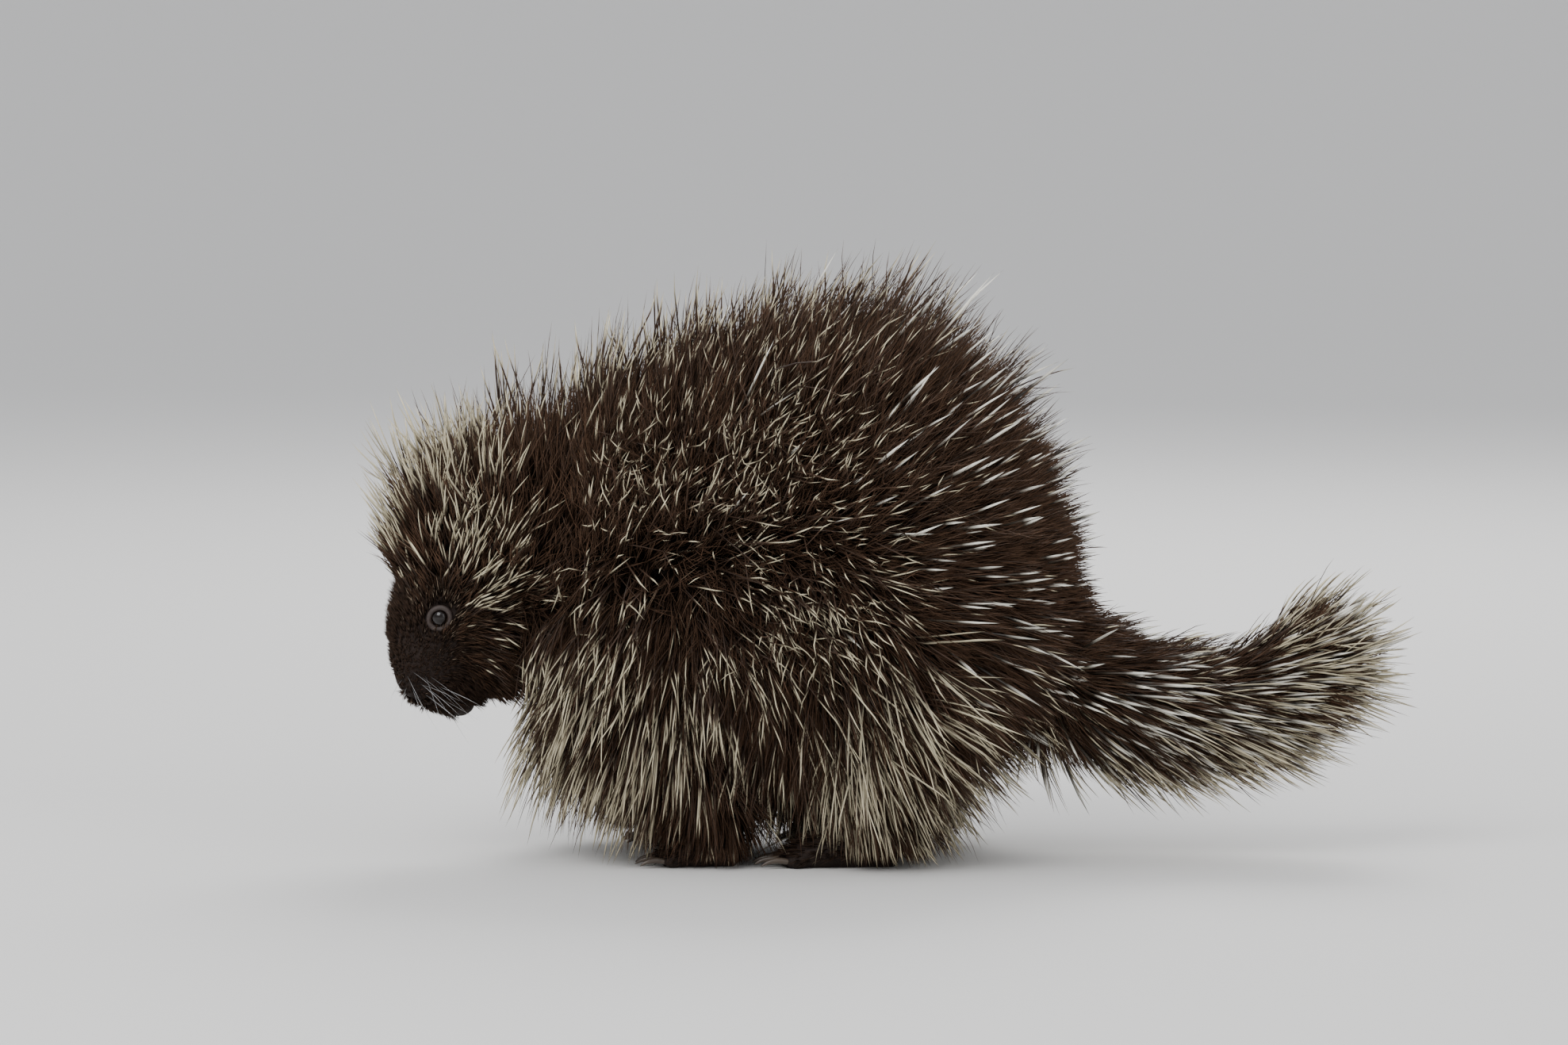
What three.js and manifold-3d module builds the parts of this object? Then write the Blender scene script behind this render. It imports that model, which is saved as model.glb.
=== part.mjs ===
// A life-size North American porcupine, walking slowly with its head held low and its tail lifted.
//
// The frame is in millimetres: +X points to the tail, -X to the nose, -Y is the animal's left side
// and +Z is up, with the soles at Z = 0. The flesh is a few tubes that run along the spine, the
// skull, the tail and the limbs. Each tube has a skin and, over it, a core of wool. Long tapered
// locks and quills are rooted on the skin, come out through the wool, and follow a combing field
// that says which way the coat lies at each place of the side view. The whole is then parted into
// head, neck, torso, tail, legs, feet, ears and eyes by cuts that are a third of a millimetre wide.
import * as THREE from 'three';
import { mergeVertices } from 'three/addons/utils/BufferGeometryUtils.js';
import Module from 'manifold-3d';

const wasm = await Module();
wasm.setup();

const CUT = 0.3; // the gap that parted pieces keep
const FLATNESS = 0.04; // facets closer to flat than this are merged
const COAT_FLATNESS = 0.4; // the same for the slivers where locks cross
const LEFT = -1; // the sign of Y on the animal's left side
const RIGHT = 1;
const UP = new THREE.Vector3(0, 0, 1);
const FORWARD = new THREE.Vector3(-1, 0, 0);
const ACROSS = new THREE.Vector3(0, 1, 0);

// Trunk, neck and tail: each station has the place of the spine [x, z], the reach of the skin to the
// side, upwards and downwards, and the depth of the wool core over it in the same three directions.
const TRUNK = [
  { at: [-222, 190], skin: [0, 0, 0], wool: [0, 0, 0] },
  { at: [-205, 190], skin: [48, 60, 70], wool: [8, 34, 8] },
  { at: [-180, 190], skin: [66, 80, 92], wool: [9, 40, 8] },
  { at: [-140, 191], skin: [80, 97, 109], wool: [10, 44, 8] },
  { at: [-90, 194], skin: [90, 113, 126], wool: [10, 46, 8] },
  { at: [-40, 197], skin: [98, 123, 136], wool: [11, 48, 8] },
  { at: [5, 198], skin: [101, 126, 137], wool: [12, 48, 8] },
  { at: [45, 193], skin: [96, 101, 126], wool: [12, 30, 10] },
  { at: [80, 180], skin: [80, 68, 102], wool: [12, 16, 10] },
  { at: [108, 163], skin: [58, 36, 70], wool: [12, 9, 10] },
  { at: [126, 150], skin: [36, 25, 42], wool: [10, 5, 8] },
  { at: [138, 142], skin: [0, 0, 0], wool: [0, 0, 0] },
];
const NECK = [
  { at: [-160, 206], skin: [0, 0, 0], wool: [0, 0, 0] },
  { at: [-185, 206], skin: [54, 58, 58], wool: [8, 36, 6] },
  { at: [-215, 207], skin: [48, 52, 58], wool: [8, 34, 6] },
  { at: [-242, 205], skin: [44, 48, 52], wool: [8, 32, 5] },
  { at: [-268, 196], skin: [34, 38, 38], wool: [5, 22, 4] },
  { at: [-282, 190], skin: [0, 0, 0], wool: [0, 0, 0] },
];
const TAIL = [
  { at: [104, 144], skin: [0, 0, 0], wool: [0, 0, 0] },
  { at: [134, 128], skin: [38, 32, 30], wool: [8, 10, 6] },
  { at: [165, 115], skin: [33, 26, 26], wool: [8, 10, 6] },
  { at: [205, 107], skin: [28, 22, 22], wool: [7, 9, 6] },
  { at: [245, 110], skin: [24, 19, 19], wool: [6, 8, 6] },
  { at: [280, 124], skin: [22, 18, 18], wool: [6, 7, 5] },
  { at: [305, 140], skin: [16, 13, 13], wool: [4, 5, 4] },
  { at: [316, 148], skin: [0, 0, 0], wool: [0, 0, 0] },
];

// The skull has its own frame: its origin lies midway between the eyes, "ahead" runs to the nose and
// "above" to the crown. Its stations are given as [ahead, above].
const EYES_AT = new THREE.Vector3(-298, 0, 169);
const HEAD_PITCH = THREE.MathUtils.degToRad(48);
const AHEAD = new THREE.Vector3(-Math.cos(HEAD_PITCH), 0, -Math.sin(HEAD_PITCH));
const ABOVE = new THREE.Vector3(-Math.sin(HEAD_PITCH), 0, Math.cos(HEAD_PITCH));
const SKULL = [
  { at: [-84, -8], skin: [0, 0, 0], wool: [0, 0, 0] },
  { at: [-70, -8], skin: [36, 34, 36], wool: [8, 18, 4] },
  { at: [-48, -10], skin: [41, 45, 46], wool: [8, 20, 4] },
  { at: [-22, -12], skin: [40, 48, 50], wool: [6, 17, 4] },
  { at: [2, -13], skin: [34, 46, 54], wool: [3, 9, 4] },
  { at: [22, -15], skin: [29, 39, 48], wool: [2, 4, 3] },
  { at: [38, -17], skin: [25.5, 31, 34], wool: [1.5, 2, 2] },
  { at: [51, -14], skin: [19, 21, 23], wool: [1, 1, 1] },
  { at: [61, -12], skin: [0, 0, 0], wool: [0, 0, 0] },
];

const EYE = { ahead: 0, above: 0, side: 31.5, radius: 6.5, lidRadius: 7.4, lidThick: 2.2 };
const EAR = { ahead: -58, above: 10, side: 42, length: 24, width: 19, thick: 11, wall: 2.4 };
const NOSTRIL = { ahead: 53.5, above: -6, side: 8.5, length: 8, width: 3.2 };
const MOUTH = { width: 1.1, depth: 3, sweep: [[60, -29], [54, -31], [46, -33], [36, -35], [26, -37]] };
const LIP_PAD = { ahead: 45, above: -20, side: 11, reach: [13, 12, 14] };
const CHIN = { ahead: 38, above: -46, reach: [15, 17, 13] };

// Limbs: the heel and toe lines along X say where each foot stands.
const FORE_FOOT = { length: 54, halfWidth: 15, height: 26, toes: 4, toeRadius: 5.2, claw: 18 };
const HIND_FOOT = { length: 84, halfWidth: 17, height: 28, toes: 5, toeRadius: 5.6, claw: 20 };
const FORE_LEGS = [
  { side: LEFT, name: 'left', heel: -92, offset: 59, shoulder: [-160, 44, 152], elbow: [-142, 56, 94] },
  { side: RIGHT, name: 'right', heel: -104, offset: 58, shoulder: [-164, 44, 152], elbow: [-148, 55, 94] },
];
const HIND_LEGS = [
  { side: LEFT, name: 'left', heel: 18, offset: 61, hip: [42, 40, 168], knee: [0, 64, 96] },
  { side: RIGHT, name: 'right', heel: 34, offset: 60, hip: [46, 40, 168], knee: [8, 62, 96] },
];
const ANKLE_HEIGHT = 30; // where a leg is parted from its foot
const LEG_WOOL = 7;

// The combing field: at each place [x, z] of the side view, the angle in degrees above +X at which the
// coat lies, the length of its hairs from the skin, and how far they lean out from the body (0 lies flat).
const COMB = [
  { at: [-326, 172], lie: 100, length: 9, lean: 0.4 }, // nose bridge
  { at: [-312, 140], lie: 75, length: 6, lean: 0.3 }, // muzzle
  { at: [-282, 112], lie: -40, length: 12, lean: 0.4 }, // chin
  { at: [-321, 205], lie: 122, length: 58, lean: 0.3 }, // forehead
  { at: [-304, 224], lie: 119, length: 88, lean: 0.25 }, // crown
  { at: [-272, 240], lie: 98, length: 94, lean: 0.25 }, // back of the crown
  { at: [-235, 252], lie: 88, length: 104, lean: 0.25 }, // nape
  { at: [-187, 268], lie: 82, length: 108, lean: 0.25 }, // withers
  { at: [-130, 292], lie: 76, length: 102, lean: 0.25 }, // front of the back
  { at: [-70, 312], lie: 68, length: 104, lean: 0.3 }, // back
  { at: [0, 324], lie: 60, length: 102, lean: 0.3 }, // top of the back
  { at: [50, 308], lie: 52, length: 84, lean: 0.35 }, // top of the rump
  { at: [85, 268], lie: 40, length: 58, lean: 0.35 }, // rump
  { at: [108, 225], lie: 24, length: 40, lean: 0.35 }, // back of the rump
  { at: [124, 182], lie: 6, length: 28, lean: 0.3 }, // over the tail
  { at: [-276, 196], lie: 62, length: 46, lean: 0.45 }, // temple
  { at: [-268, 176], lie: 35, length: 34, lean: 0.4 }, // behind the eye
  { at: [-262, 152], lie: -8, length: 24, lean: 0.3 }, // cheek
  { at: [-248, 132], lie: -35, length: 18, lean: 0.3 }, // jaw
  { at: [-226, 205], lie: 62, length: 58, lean: 0.6 }, // side of the neck
  { at: [-218, 150], lie: -98, length: 60, lean: 0.4 }, // throat
  { at: [-160, 240], lie: 55, length: 62, lean: 0.9 }, // high shoulder
  { at: [-170, 185], lie: -104, length: 72, lean: 0.5 }, // shoulder
  { at: [-196, 130], lie: -106, length: 78, lean: 0.35 }, // chest
  { at: [-150, 100], lie: -102, length: 58, lean: 0.35 }, // foreleg
  { at: [-70, 255], lie: 42, length: 68, lean: 1.0 }, // high flank
  { at: [-60, 195], lie: -45, length: 66, lean: 0.9 }, // flank
  { at: [10, 260], lie: 36, length: 70, lean: 0.7 }, // loin
  { at: [40, 205], lie: 8, length: 60, lean: 0.6 }, // haunch
  { at: [60, 150], lie: -24, length: 74, lean: 0.45 }, // low haunch
  { at: [-70, 130], lie: -96, length: 72, lean: 0.4 }, // low flank
  { at: [-10, 140], lie: -66, length: 84, lean: 0.45 }, // thigh
  { at: [-20, 70], lie: -82, length: 66, lean: 0.35 }, // shank
  { at: [70, 105], lie: -46, length: 68, lean: 0.35 }, // back of the thigh
  { at: [150, 145], lie: 4, length: 42, lean: 0.35 }, // top of the tail root
  { at: [150, 115], lie: -22, length: 78, lean: 0.3 }, // side of the tail root
  { at: [150, 88], lie: -48, length: 84, lean: 0.25 }, // under the tail root
  { at: [222, 130], lie: 12, length: 44, lean: 0.45 }, // top of the tail
  { at: [222, 106], lie: -14, length: 84, lean: 0.25 }, // side of the tail
  { at: [222, 86], lie: -32, length: 70, lean: 0.25 }, // under the tail
  { at: [292, 148], lie: 46, length: 58, lean: 0.3 }, // top of the tail end
  { at: [290, 130], lie: 12, length: 70, lean: 0.3 }, // side of the tail end
  { at: [290, 112], lie: -22, length: 66, lean: 0.25 }, // under the tail end
];

// What the locks and quills of the solids measure, and how far apart their roots are.
const LOCK = { width: 34, thick: 8, levels: [0, 0.34, 0.7, 1] };
const CREST_LOCK = { width: 19, thick: 5.5, levels: [0, 0.36, 0.7, 1] };
const TAIL_LOCK = { width: 15, thick: 4.6, levels: [0, 0.36, 0.7, 1] };
const QUILL = { width: 3, thick: 3, levels: [0, 0.5, 1] };
// The width at each level, as a share of the full width: a quill has three levels and a lock has four.
const SWELLS = { 3: [0.9, 1, 0], 4: [0.7, 1, 0.8, 0] };
const BOW = 0.09; // how far a strand bows outwards, as a share of its length
const FLOOR_CLEARANCE = 3; // the height that every tip keeps

// How many facets go round and along each kind of form.
const DETAIL = {
  trunk: [18, 14],
  neck: [16, 8],
  tail: [12, 10],
  skull: [17, 12],
  leg: [9, 8],
  foot: [8, 5],
  pad: [9, 6],
  lid: [5, 11],
  eye: [12, 8],
  ear: [10, 7],
  nostril: [6, 4],
  toe: [5, 4],
  claw: 4,
  sleeve: 12,
};

const COLOURS = {
  coat: 0x3b2c22,
  crest: 0x6d5a45,
  face: 0x1d1613,
  paw: 0x17120f,
  ear: 0x2a1f1a,
  eye: 0x0c0908,
};

// A repeatable draw of numbers from 0 to 1.
function seededDraw(seed) {
  let state = seed;
  return () => {
    state = (state + 0x6d2b79f5) | 0;
    let mixed = Math.imul(state ^ (state >>> 15), 1 | state);
    mixed = (mixed + Math.imul(mixed ^ (mixed >>> 7), 61 | mixed)) ^ mixed;
    return ((mixed ^ (mixed >>> 14)) >>> 0) / 4294967296;
  };
}

// Solids and geometries

function solidOf(geometry) {
  const bare = new THREE.BufferGeometry();
  bare.setAttribute('position', geometry.getAttribute('position').clone());
  bare.setIndex(geometry.index);
  const merged = mergeVertices(bare, 1e-4);
  return new wasm.Manifold(
    new wasm.Mesh({
      numProp: 3,
      vertProperties: merged.attributes.position.array,
      triVerts: new Uint32Array(merged.index.array),
    }),
  );
}

function geometryOf(solid) {
  const { numVert, numProp, vertProperties, triVerts } = solid.getMesh();
  const positions = new Float32Array(numVert * 3);
  for (let i = 0; i < numVert; i++) {
    positions.set(vertProperties.subarray(i * numProp, i * numProp + 3), i * 3);
  }
  const geometry = new THREE.BufferGeometry();
  geometry.setAttribute('position', new THREE.BufferAttribute(positions, 3));
  geometry.setIndex(new THREE.BufferAttribute(triVerts, 1));
  geometry.computeVertexNormals();
  return geometry;
}

const join = (solids) => solids.reduce((whole, piece) => whole.add(piece));

// The largest closed surface of a solid, so that loose scraps and sealed hollows go.
function largestOf(solid) {
  const bodies = solid.decompose().sort((a, b) => b.volume() - a.volume());
  return bodies[0];
}

// An ellipsoid, turned so that its own Z runs along "axis".
function ball(centre, reach, [around, rings] = [10, 8], axis = UP) {
  const geometry = new THREE.SphereGeometry(1, around, rings);
  geometry.scale(...reach);
  geometry.applyQuaternion(new THREE.Quaternion().setFromUnitVectors(UP, axis));
  geometry.translate(...centre.toArray());
  return solidOf(geometry);
}

// A round or flat strand through "points": a cone whose levels are moved to them, "across" wide and
// "deep" thick by halves at each level, with "wide" the direction of its width.
function strand(points, wide, across, deep, sides) {
  const geometry = new THREE.ConeGeometry(1, 1, sides, points.length - 1);
  const position = geometry.getAttribute('position');
  const tip = points.length - 1;
  for (let i = 0; i < position.count; i++) {
    const level = Math.round((position.getY(i) + 0.5) * tip);
    const share = level === tip ? 0 : tip / (tip - level); // undoes the cone's own taper
    const ahead = points[Math.min(level + 1, tip)].clone().sub(points[Math.max(level - 1, 0)]).normalize();
    const side = wide.clone().addScaledVector(ahead, -wide.dot(ahead)).normalize();
    const thick = side.clone().cross(ahead);
    const place = points[level]
      .clone()
      .addScaledVector(side, position.getX(i) * share * across[level])
      .addScaledVector(thick, position.getZ(i) * share * deep[level]);
    position.setXYZ(i, place.x, place.y, place.z);
  }
  return solidOf(geometry);
}

// Flesh

// A tube of flesh along its stations. A place on it is asked for by how far along it is, from 0 to 1,
// and by the angle round it, which is 0 at its top; "wool" is 1 on the wool core and 0 on the skin.
class Flesh {
  constructor(stations, place = ([x, z]) => new THREE.Vector3(x, 0, z), top = UP) {
    this.spine = new THREE.CatmullRomCurve3(stations.map((station) => place(station.at)));
    this.skin = new THREE.CatmullRomCurve3(stations.map((station) => new THREE.Vector3(...station.skin)));
    this.wool = new THREE.CatmullRomCurve3(stations.map((station) => new THREE.Vector3(...station.wool)));
    this.top = top;
  }

  point(along, angle, wool = 0, grow = 0) {
    const centre = this.spine.getPoint(along);
    const tangent = this.spine.getTangent(along);
    const rise = this.top.clone().addScaledVector(tangent, -this.top.dot(tangent)).normalize();
    const side = rise.clone().cross(tangent);
    const reach = this.skin.getPoint(along).addScaledVector(this.wool.getPoint(along), wool);
    const ends = Math.min(1, 8 * along, 8 * (1 - along)); // growth fades at the closed ends
    const [half, up, down] = reach.toArray().map((size) => Math.max(size, 0) + grow * ends);
    return centre
      .addScaledVector(side, Math.sin(angle) * half)
      .addScaledVector(rise, Math.cos(angle) * (Math.cos(angle) > 0 ? up : down));
  }

  normal(along, angle) {
    const step = 0.01;
    const lengthwise = this.point(Math.min(along + step, 0.999), angle).sub(
      this.point(Math.max(along - step, 0.001), angle),
    );
    const around = this.point(along, angle + step).sub(this.point(along, angle - step));
    return lengthwise.cross(around).normalize();
  }

  solid([sides, rings], wool = 1, grow = 0) {
    const geometry = new THREE.SphereGeometry(1, sides, rings);
    const position = geometry.getAttribute('position');
    const round = geometry.getAttribute('uv');
    for (let i = 0; i < position.count; i++) {
      const place = this.point(1 - round.getY(i), round.getX(i) * 2 * Math.PI, wool, grow);
      position.setXYZ(i, place.x, place.y, place.z);
    }
    return solidOf(geometry);
  }
}

const headPlace = (ahead, above, side = 0) =>
  EYES_AT.clone()
    .addScaledVector(AHEAD, ahead)
    .addScaledVector(ABOVE, above)
    .addScaledVector(ACROSS, side);

function limbStations(points) {
  return points.map(([x, y, z, skinSide, skinFront, skinBack]) => ({
    at: [x, y, z],
    skin: [skinSide, skinFront, skinBack],
    wool: skinSide ? [LEG_WOOL, LEG_WOOL, LEG_WOOL] : [0, 0, 0],
  }));
}

const anyPlace = ([x, y, z]) => new THREE.Vector3(x, y, z);

function foreLeg({ side, heel, offset, shoulder, elbow }) {
  const y = side * offset;
  const stations = limbStations([
    [shoulder[0], side * shoulder[1], shoulder[2], 0, 0, 0],
    [shoulder[0] + 2, side * (shoulder[1] + 5), shoulder[2] - 24, 27, 36, 36],
    [elbow[0], side * elbow[1], elbow[2], 22, 26, 26],
    [(elbow[0] + heel - 12) / 2, y, 60, 16, 18, 18],
    [heel - 13, y, 36, 13, 14, 14],
    [heel - 15, y, 20, 11, 12, 12],
    [heel - 16, y, 8, 0, 0, 0],
  ]);
  return new Flesh(stations, anyPlace, FORWARD);
}

function hindLeg({ side, heel, offset, hip, knee }) {
  const y = side * offset;
  const stations = limbStations([
    [hip[0], side * hip[1], hip[2], 0, 0, 0],
    [hip[0] - 14, side * (hip[1] + 8), hip[2] - 30, 38, 48, 48],
    [knee[0] + 8, side * knee[1], knee[2] + 6, 30, 36, 36],
    [(knee[0] + heel - 14) / 2, y, 62, 20, 23, 23],
    [heel - 14, y, 36, 15, 17, 17],
    [heel - 15, y, 20, 12, 14, 14],
    [heel - 16, y, 8, 0, 0, 0],
  ]);
  return new Flesh(stations, anyPlace, FORWARD);
}

const trunk = new Flesh(TRUNK);
const neck = new Flesh(NECK);
const tail = new Flesh(TAIL);
const skull = new Flesh(SKULL, ([ahead, above]) => headPlace(ahead, above));
const foreLegs = FORE_LEGS.map((leg) => ({ ...leg, foot: FORE_FOOT, flesh: foreLeg(leg) }));
const hindLegs = HIND_LEGS.map((leg) => ({ ...leg, foot: HIND_FOOT, flesh: hindLeg(leg) }));

// Regions: the room that each node keeps to

// The room on the inner side of a few planes, each given as a point and the direction that points in.
class Slice {
  constructor(planes) {
    this.planes = planes.map(([point, inward]) => [
      new THREE.Vector3(...point),
      new THREE.Vector3(...inward).normalize(),
    ]);
  }

  depths(place) {
    return this.planes.map(([point, inward]) => place.clone().sub(point).dot(inward));
  }

  holds(place) {
    return Math.min(...this.depths(place)) > 0;
  }

  pullIn(place, margin) {
    for (const [point, inward] of this.planes) {
      const depth = place.clone().sub(point).dot(inward);
      if (depth < margin) place.addScaledVector(inward, margin - depth);
    }
  }

  pushOut(place, margin) {
    const depths = this.depths(place);
    const least = Math.min(...depths);
    if (least < -margin) return;
    const [, inward] = this.planes[depths.indexOf(least)];
    place.addScaledVector(inward, -(least + margin));
  }

  solid(grow = 0) {
    const room = solidOf(new THREE.BoxGeometry(1400, 1400, 1400));
    return this.planes.reduce(
      (kept, [point, inward]) => kept.trimByPlane(inward.toArray(), inward.dot(point) - grow),
      room,
    );
  }
}

// The room in a widening sleeve round a limb or the tail.
class Sleeve {
  constructor(from, to, fromRadius, toRadius) {
    this.from = new THREE.Vector3(...from);
    this.to = new THREE.Vector3(...to);
    this.radii = [fromRadius, toRadius];
    this.length = this.from.distanceTo(this.to);
    this.axis = this.to.clone().sub(this.from).normalize();
  }

  // How deep a place is past the sleeve's mouth and inside its wall, and the way out to the wall.
  measure(place) {
    const offset = place.clone().sub(this.from);
    const past = offset.dot(this.axis);
    const outward = offset.addScaledVector(this.axis, -past);
    const wall = THREE.MathUtils.lerp(...this.radii, past / this.length);
    return { past, inside: wall - outward.length(), outward: outward.normalize() };
  }

  holds(place) {
    const { past, inside } = this.measure(place);
    return past > 0 && inside > 0;
  }

  pullIn(place, margin) {
    const { past, inside, outward } = this.measure(place);
    if (inside < margin) place.addScaledVector(outward, inside - margin);
    if (past < margin) place.addScaledVector(this.axis, margin - past);
  }

  pushOut(place, margin) {
    const { past, inside, outward } = this.measure(place);
    if (past > -margin && inside > -margin) place.addScaledVector(outward, inside + margin);
  }

  solid(grow = 0) {
    const middle = this.from.clone().add(this.to).multiplyScalar(0.5);
    const geometry = new THREE.CylinderGeometry(
      this.radii[1] + grow,
      this.radii[0] + grow,
      this.length + 2 * grow,
      DETAIL.sleeve,
    );
    geometry.applyQuaternion(new THREE.Quaternion().setFromUnitVectors(ACROSS, this.axis));
    geometry.translate(...middle.toArray());
    return solidOf(geometry);
  }
}

// The neck's two faces lean along the fan of its hair. The lower plane keeps the chest's hair with the torso.
const NECK_BACK = [[-206, 0, 225], [-0.99, 0, 0.138]];
const CHEST_FRONT = [[-222, 0, 112], [-0.866, 0, 0.5]];
const HEAD_BACK = [[-252, 0, 216], [-0.987, 0, -0.163]];
const HEAD_FRONT_SIDE = [HEAD_BACK[0], HEAD_BACK[1].map((part) => -part)];

const REGIONS = {
  front: new Slice([NECK_BACK, CHEST_FRONT]),
  head: new Slice([NECK_BACK, CHEST_FRONT, HEAD_BACK]),
  neck: new Slice([NECK_BACK, CHEST_FRONT, HEAD_FRONT_SIDE]),
  tail: new Sleeve([122, 0, 126], [380, 0, 108], 54, 160),
};
for (const { name, side, heel, offset } of foreLegs) {
  REGIONS[`foreleg_${name}`] = new Sleeve(
    [heel - 38, side * (offset - 4), 112],
    [heel - 30, side * (offset + 2), -6],
    34,
    41,
  );
}
for (const { name, side, heel, offset } of hindLegs) {
  REGIONS[`hindleg_${name}`] = new Sleeve(
    [heel - 22, side * (offset - 4), 118],
    [heel - 38, side * (offset + 2), -6],
    46,
    58,
  );
}

// The name of the node whose room a place lies in.
function ownerOf(place) {
  if (REGIONS.front.holds(place)) return REGIONS.head.holds(place) ? 'head' : 'neck';
  const sleeves = Object.entries(REGIONS).filter(([, room]) => room instanceof Sleeve);
  const [name] = sleeves.find(([, room]) => room.holds(place)) ?? ['torso'];
  return name;
}

// Bends a place back into its owner's room, or out of every other room for the torso.
function keepTo(owner, place, margin) {
  if (owner === 'torso') {
    for (const [name, room] of Object.entries(REGIONS)) {
      if (name !== 'head' && name !== 'neck') room.pushOut(place, margin);
    }
  } else {
    REGIONS[owner].pullIn(place, margin);
  }
}

// Coat

// The direction, length and lean of the coat at a place, blended from the marks of the combing field.
function combAt(place) {
  const lie = new THREE.Vector3();
  let length = 0;
  let lean = 0;
  let total = 0;
  for (const mark of COMB) {
    const apart = (place.x - mark.at[0]) ** 2 + (place.z - mark.at[1]) ** 2;
    const weight = 1 / (apart + 9) ** 2;
    const angle = THREE.MathUtils.degToRad(mark.lie);
    lie.add(new THREE.Vector3(Math.cos(angle) * weight, 0, Math.sin(angle) * weight));
    length += mark.length * weight;
    lean += mark.lean * weight;
    total += weight;
  }
  return { lie: lie.normalize(), length: length / total, lean: lean / total };
}

// One lock or quill, rooted in the flesh and combed along the field, inside its owner's room.
function combedStrand(flesh, along, angle, form, owner, draw) {
  const root = flesh.point(along, angle);
  const normal = flesh.normal(along, angle);
  const comb = combAt(root);
  const lie = comb.lie.clone();
  lie.addScaledVector(normal, Math.max(0, -lie.dot(normal))); // hair never grows back into the body
  const sway = new THREE.Vector3(0, (draw() - 0.5) * 0.35, (draw() - 0.5) * 0.2);
  const main = lie.addScaledVector(normal, comb.lean).add(sway).normalize();
  const length = comb.length * (0.86 + 0.28 * draw());
  const bow = length * BOW;
  const points = form.levels.map((level) =>
    root
      .clone()
      .addScaledVector(main, level * length)
      .addScaledVector(normal, 4 * bow * level * (1 - level) - 4 * (1 - level)),
  );
  const margin = form.width * 0.3 + 1.5;
  form.levels.forEach((level, i) => {
    if (i > 0) keepTo(owner, points[i], margin);
    points[i].z = Math.max(points[i].z, FLOOR_CLEARANCE + (1 - level) * form.width * 0.5);
  });
  const swell = SWELLS[form.levels.length];
  const wide = main.clone().cross(normal);
  const across = swell.map((share) => (share * form.width) / 2);
  const deep = swell.map((share) => (share * form.thick) / 2);
  return strand(points, wide, across, deep, 3);
}

// Staggered rows of strands over a tube of flesh, sorted by the node that owns the room at each root.
function growCoat(coat, flesh, { form, spacing, from = 0, to = 1, reach = Math.PI, seed, keep = () => true }) {
  const draw = seededDraw(seed);
  const lengthwise = flesh.spine.getLength() * (to - from);
  const rows = Math.max(2, Math.round(lengthwise / spacing));
  for (let row = 0; row < rows; row++) {
    const along = from + ((row + 0.5) / rows) * (to - from);
    const girth = flesh.skin.getPoint(along);
    const around = reach * Math.max(girth.x + (girth.y + girth.z) / 2, 1);
    const count = Math.max(1, Math.round(around / spacing));
    for (let i = 0; i < count; i++) {
      const turn = ((i + 0.5 + (row % 2) * 0.5) / count) * 2 - 1;
      const angle = (turn > 1 ? turn - 2 : turn) * reach + ((draw() - 0.5) * 0.5 * spacing) / 80;
      const place = Math.min(Math.max(along + (draw() - 0.5) * 0.4 * (to - from) / rows, 0.01), 0.99);
      const root = flesh.point(place, angle);
      const owner = ownerOf(root);
      if (keep(root, owner)) {
        (coat[owner] ??= []).push(combedStrand(flesh, place, angle, form, owner, draw));
      }
    }
  }
}

// Head

const eyePlace = (side) => headPlace(EYE.ahead, EYE.above, side * EYE.side);
const eyeLook = (side) => AHEAD.clone().multiplyScalar(0.3).addScaledVector(ACROSS, side).normalize();

// The skull with lip pads and chin; "grow" is negative for the shape that stays under the mouth line.
function headCore(grow = 0) {
  const swollen = (reach) => reach.map((size) => size + grow);
  const pads = [LEFT, RIGHT].map((side) => {
    const centre = headPlace(LIP_PAD.ahead, LIP_PAD.above, side * LIP_PAD.side);
    return ball(centre, swollen(LIP_PAD.reach), DETAIL.pad, AHEAD);
  });
  const chin = ball(headPlace(CHIN.ahead, CHIN.above), swollen(CHIN.reach), DETAIL.pad, AHEAD);
  return join([skull.solid(DETAIL.skull, 1, grow), ...pads, chin]);
}

function eyelid(side) {
  const geometry = new THREE.TorusGeometry(EYE.lidRadius, EYE.lidThick, ...DETAIL.lid);
  geometry.scale(1.18, 1, 1);
  const look = eyeLook(side);
  const across = AHEAD.clone().addScaledVector(look, -AHEAD.dot(look)).normalize();
  const frame = new THREE.Matrix4().makeBasis(across, look.clone().cross(across), look);
  geometry.applyMatrix4(frame);
  geometry.translate(...eyePlace(side).addScaledVector(look, 3.2).toArray());
  return solidOf(geometry);
}

function nostril(side) {
  const slant = ABOVE.clone().addScaledVector(ACROSS, side * 0.55).normalize();
  const place = headPlace(NOSTRIL.ahead, NOSTRIL.above, side * NOSTRIL.side);
  return ball(place, [NOSTRIL.width / 2, NOSTRIL.width, NOSTRIL.length / 2], DETAIL.nostril, slant);
}

// A thin curved slab along the lips, less everything deeper than the groove.
function mouthGroove() {
  const steps = MOUTH.sweep.length - 1;
  const geometry = new THREE.BoxGeometry(1, 1, 1, steps, 1, 1);
  const position = geometry.getAttribute('position');
  for (let i = 0; i < position.count; i++) {
    const [ahead, above] = MOUTH.sweep[Math.round((position.getX(i) + 0.5) * steps)];
    const place = headPlace(ahead, above + position.getY(i) * MOUTH.width, position.getZ(i) * -100);
    position.setXYZ(i, place.x, place.y, place.z);
  }
  return solidOf(geometry).subtract(headCore(-MOUTH.depth));
}

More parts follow.
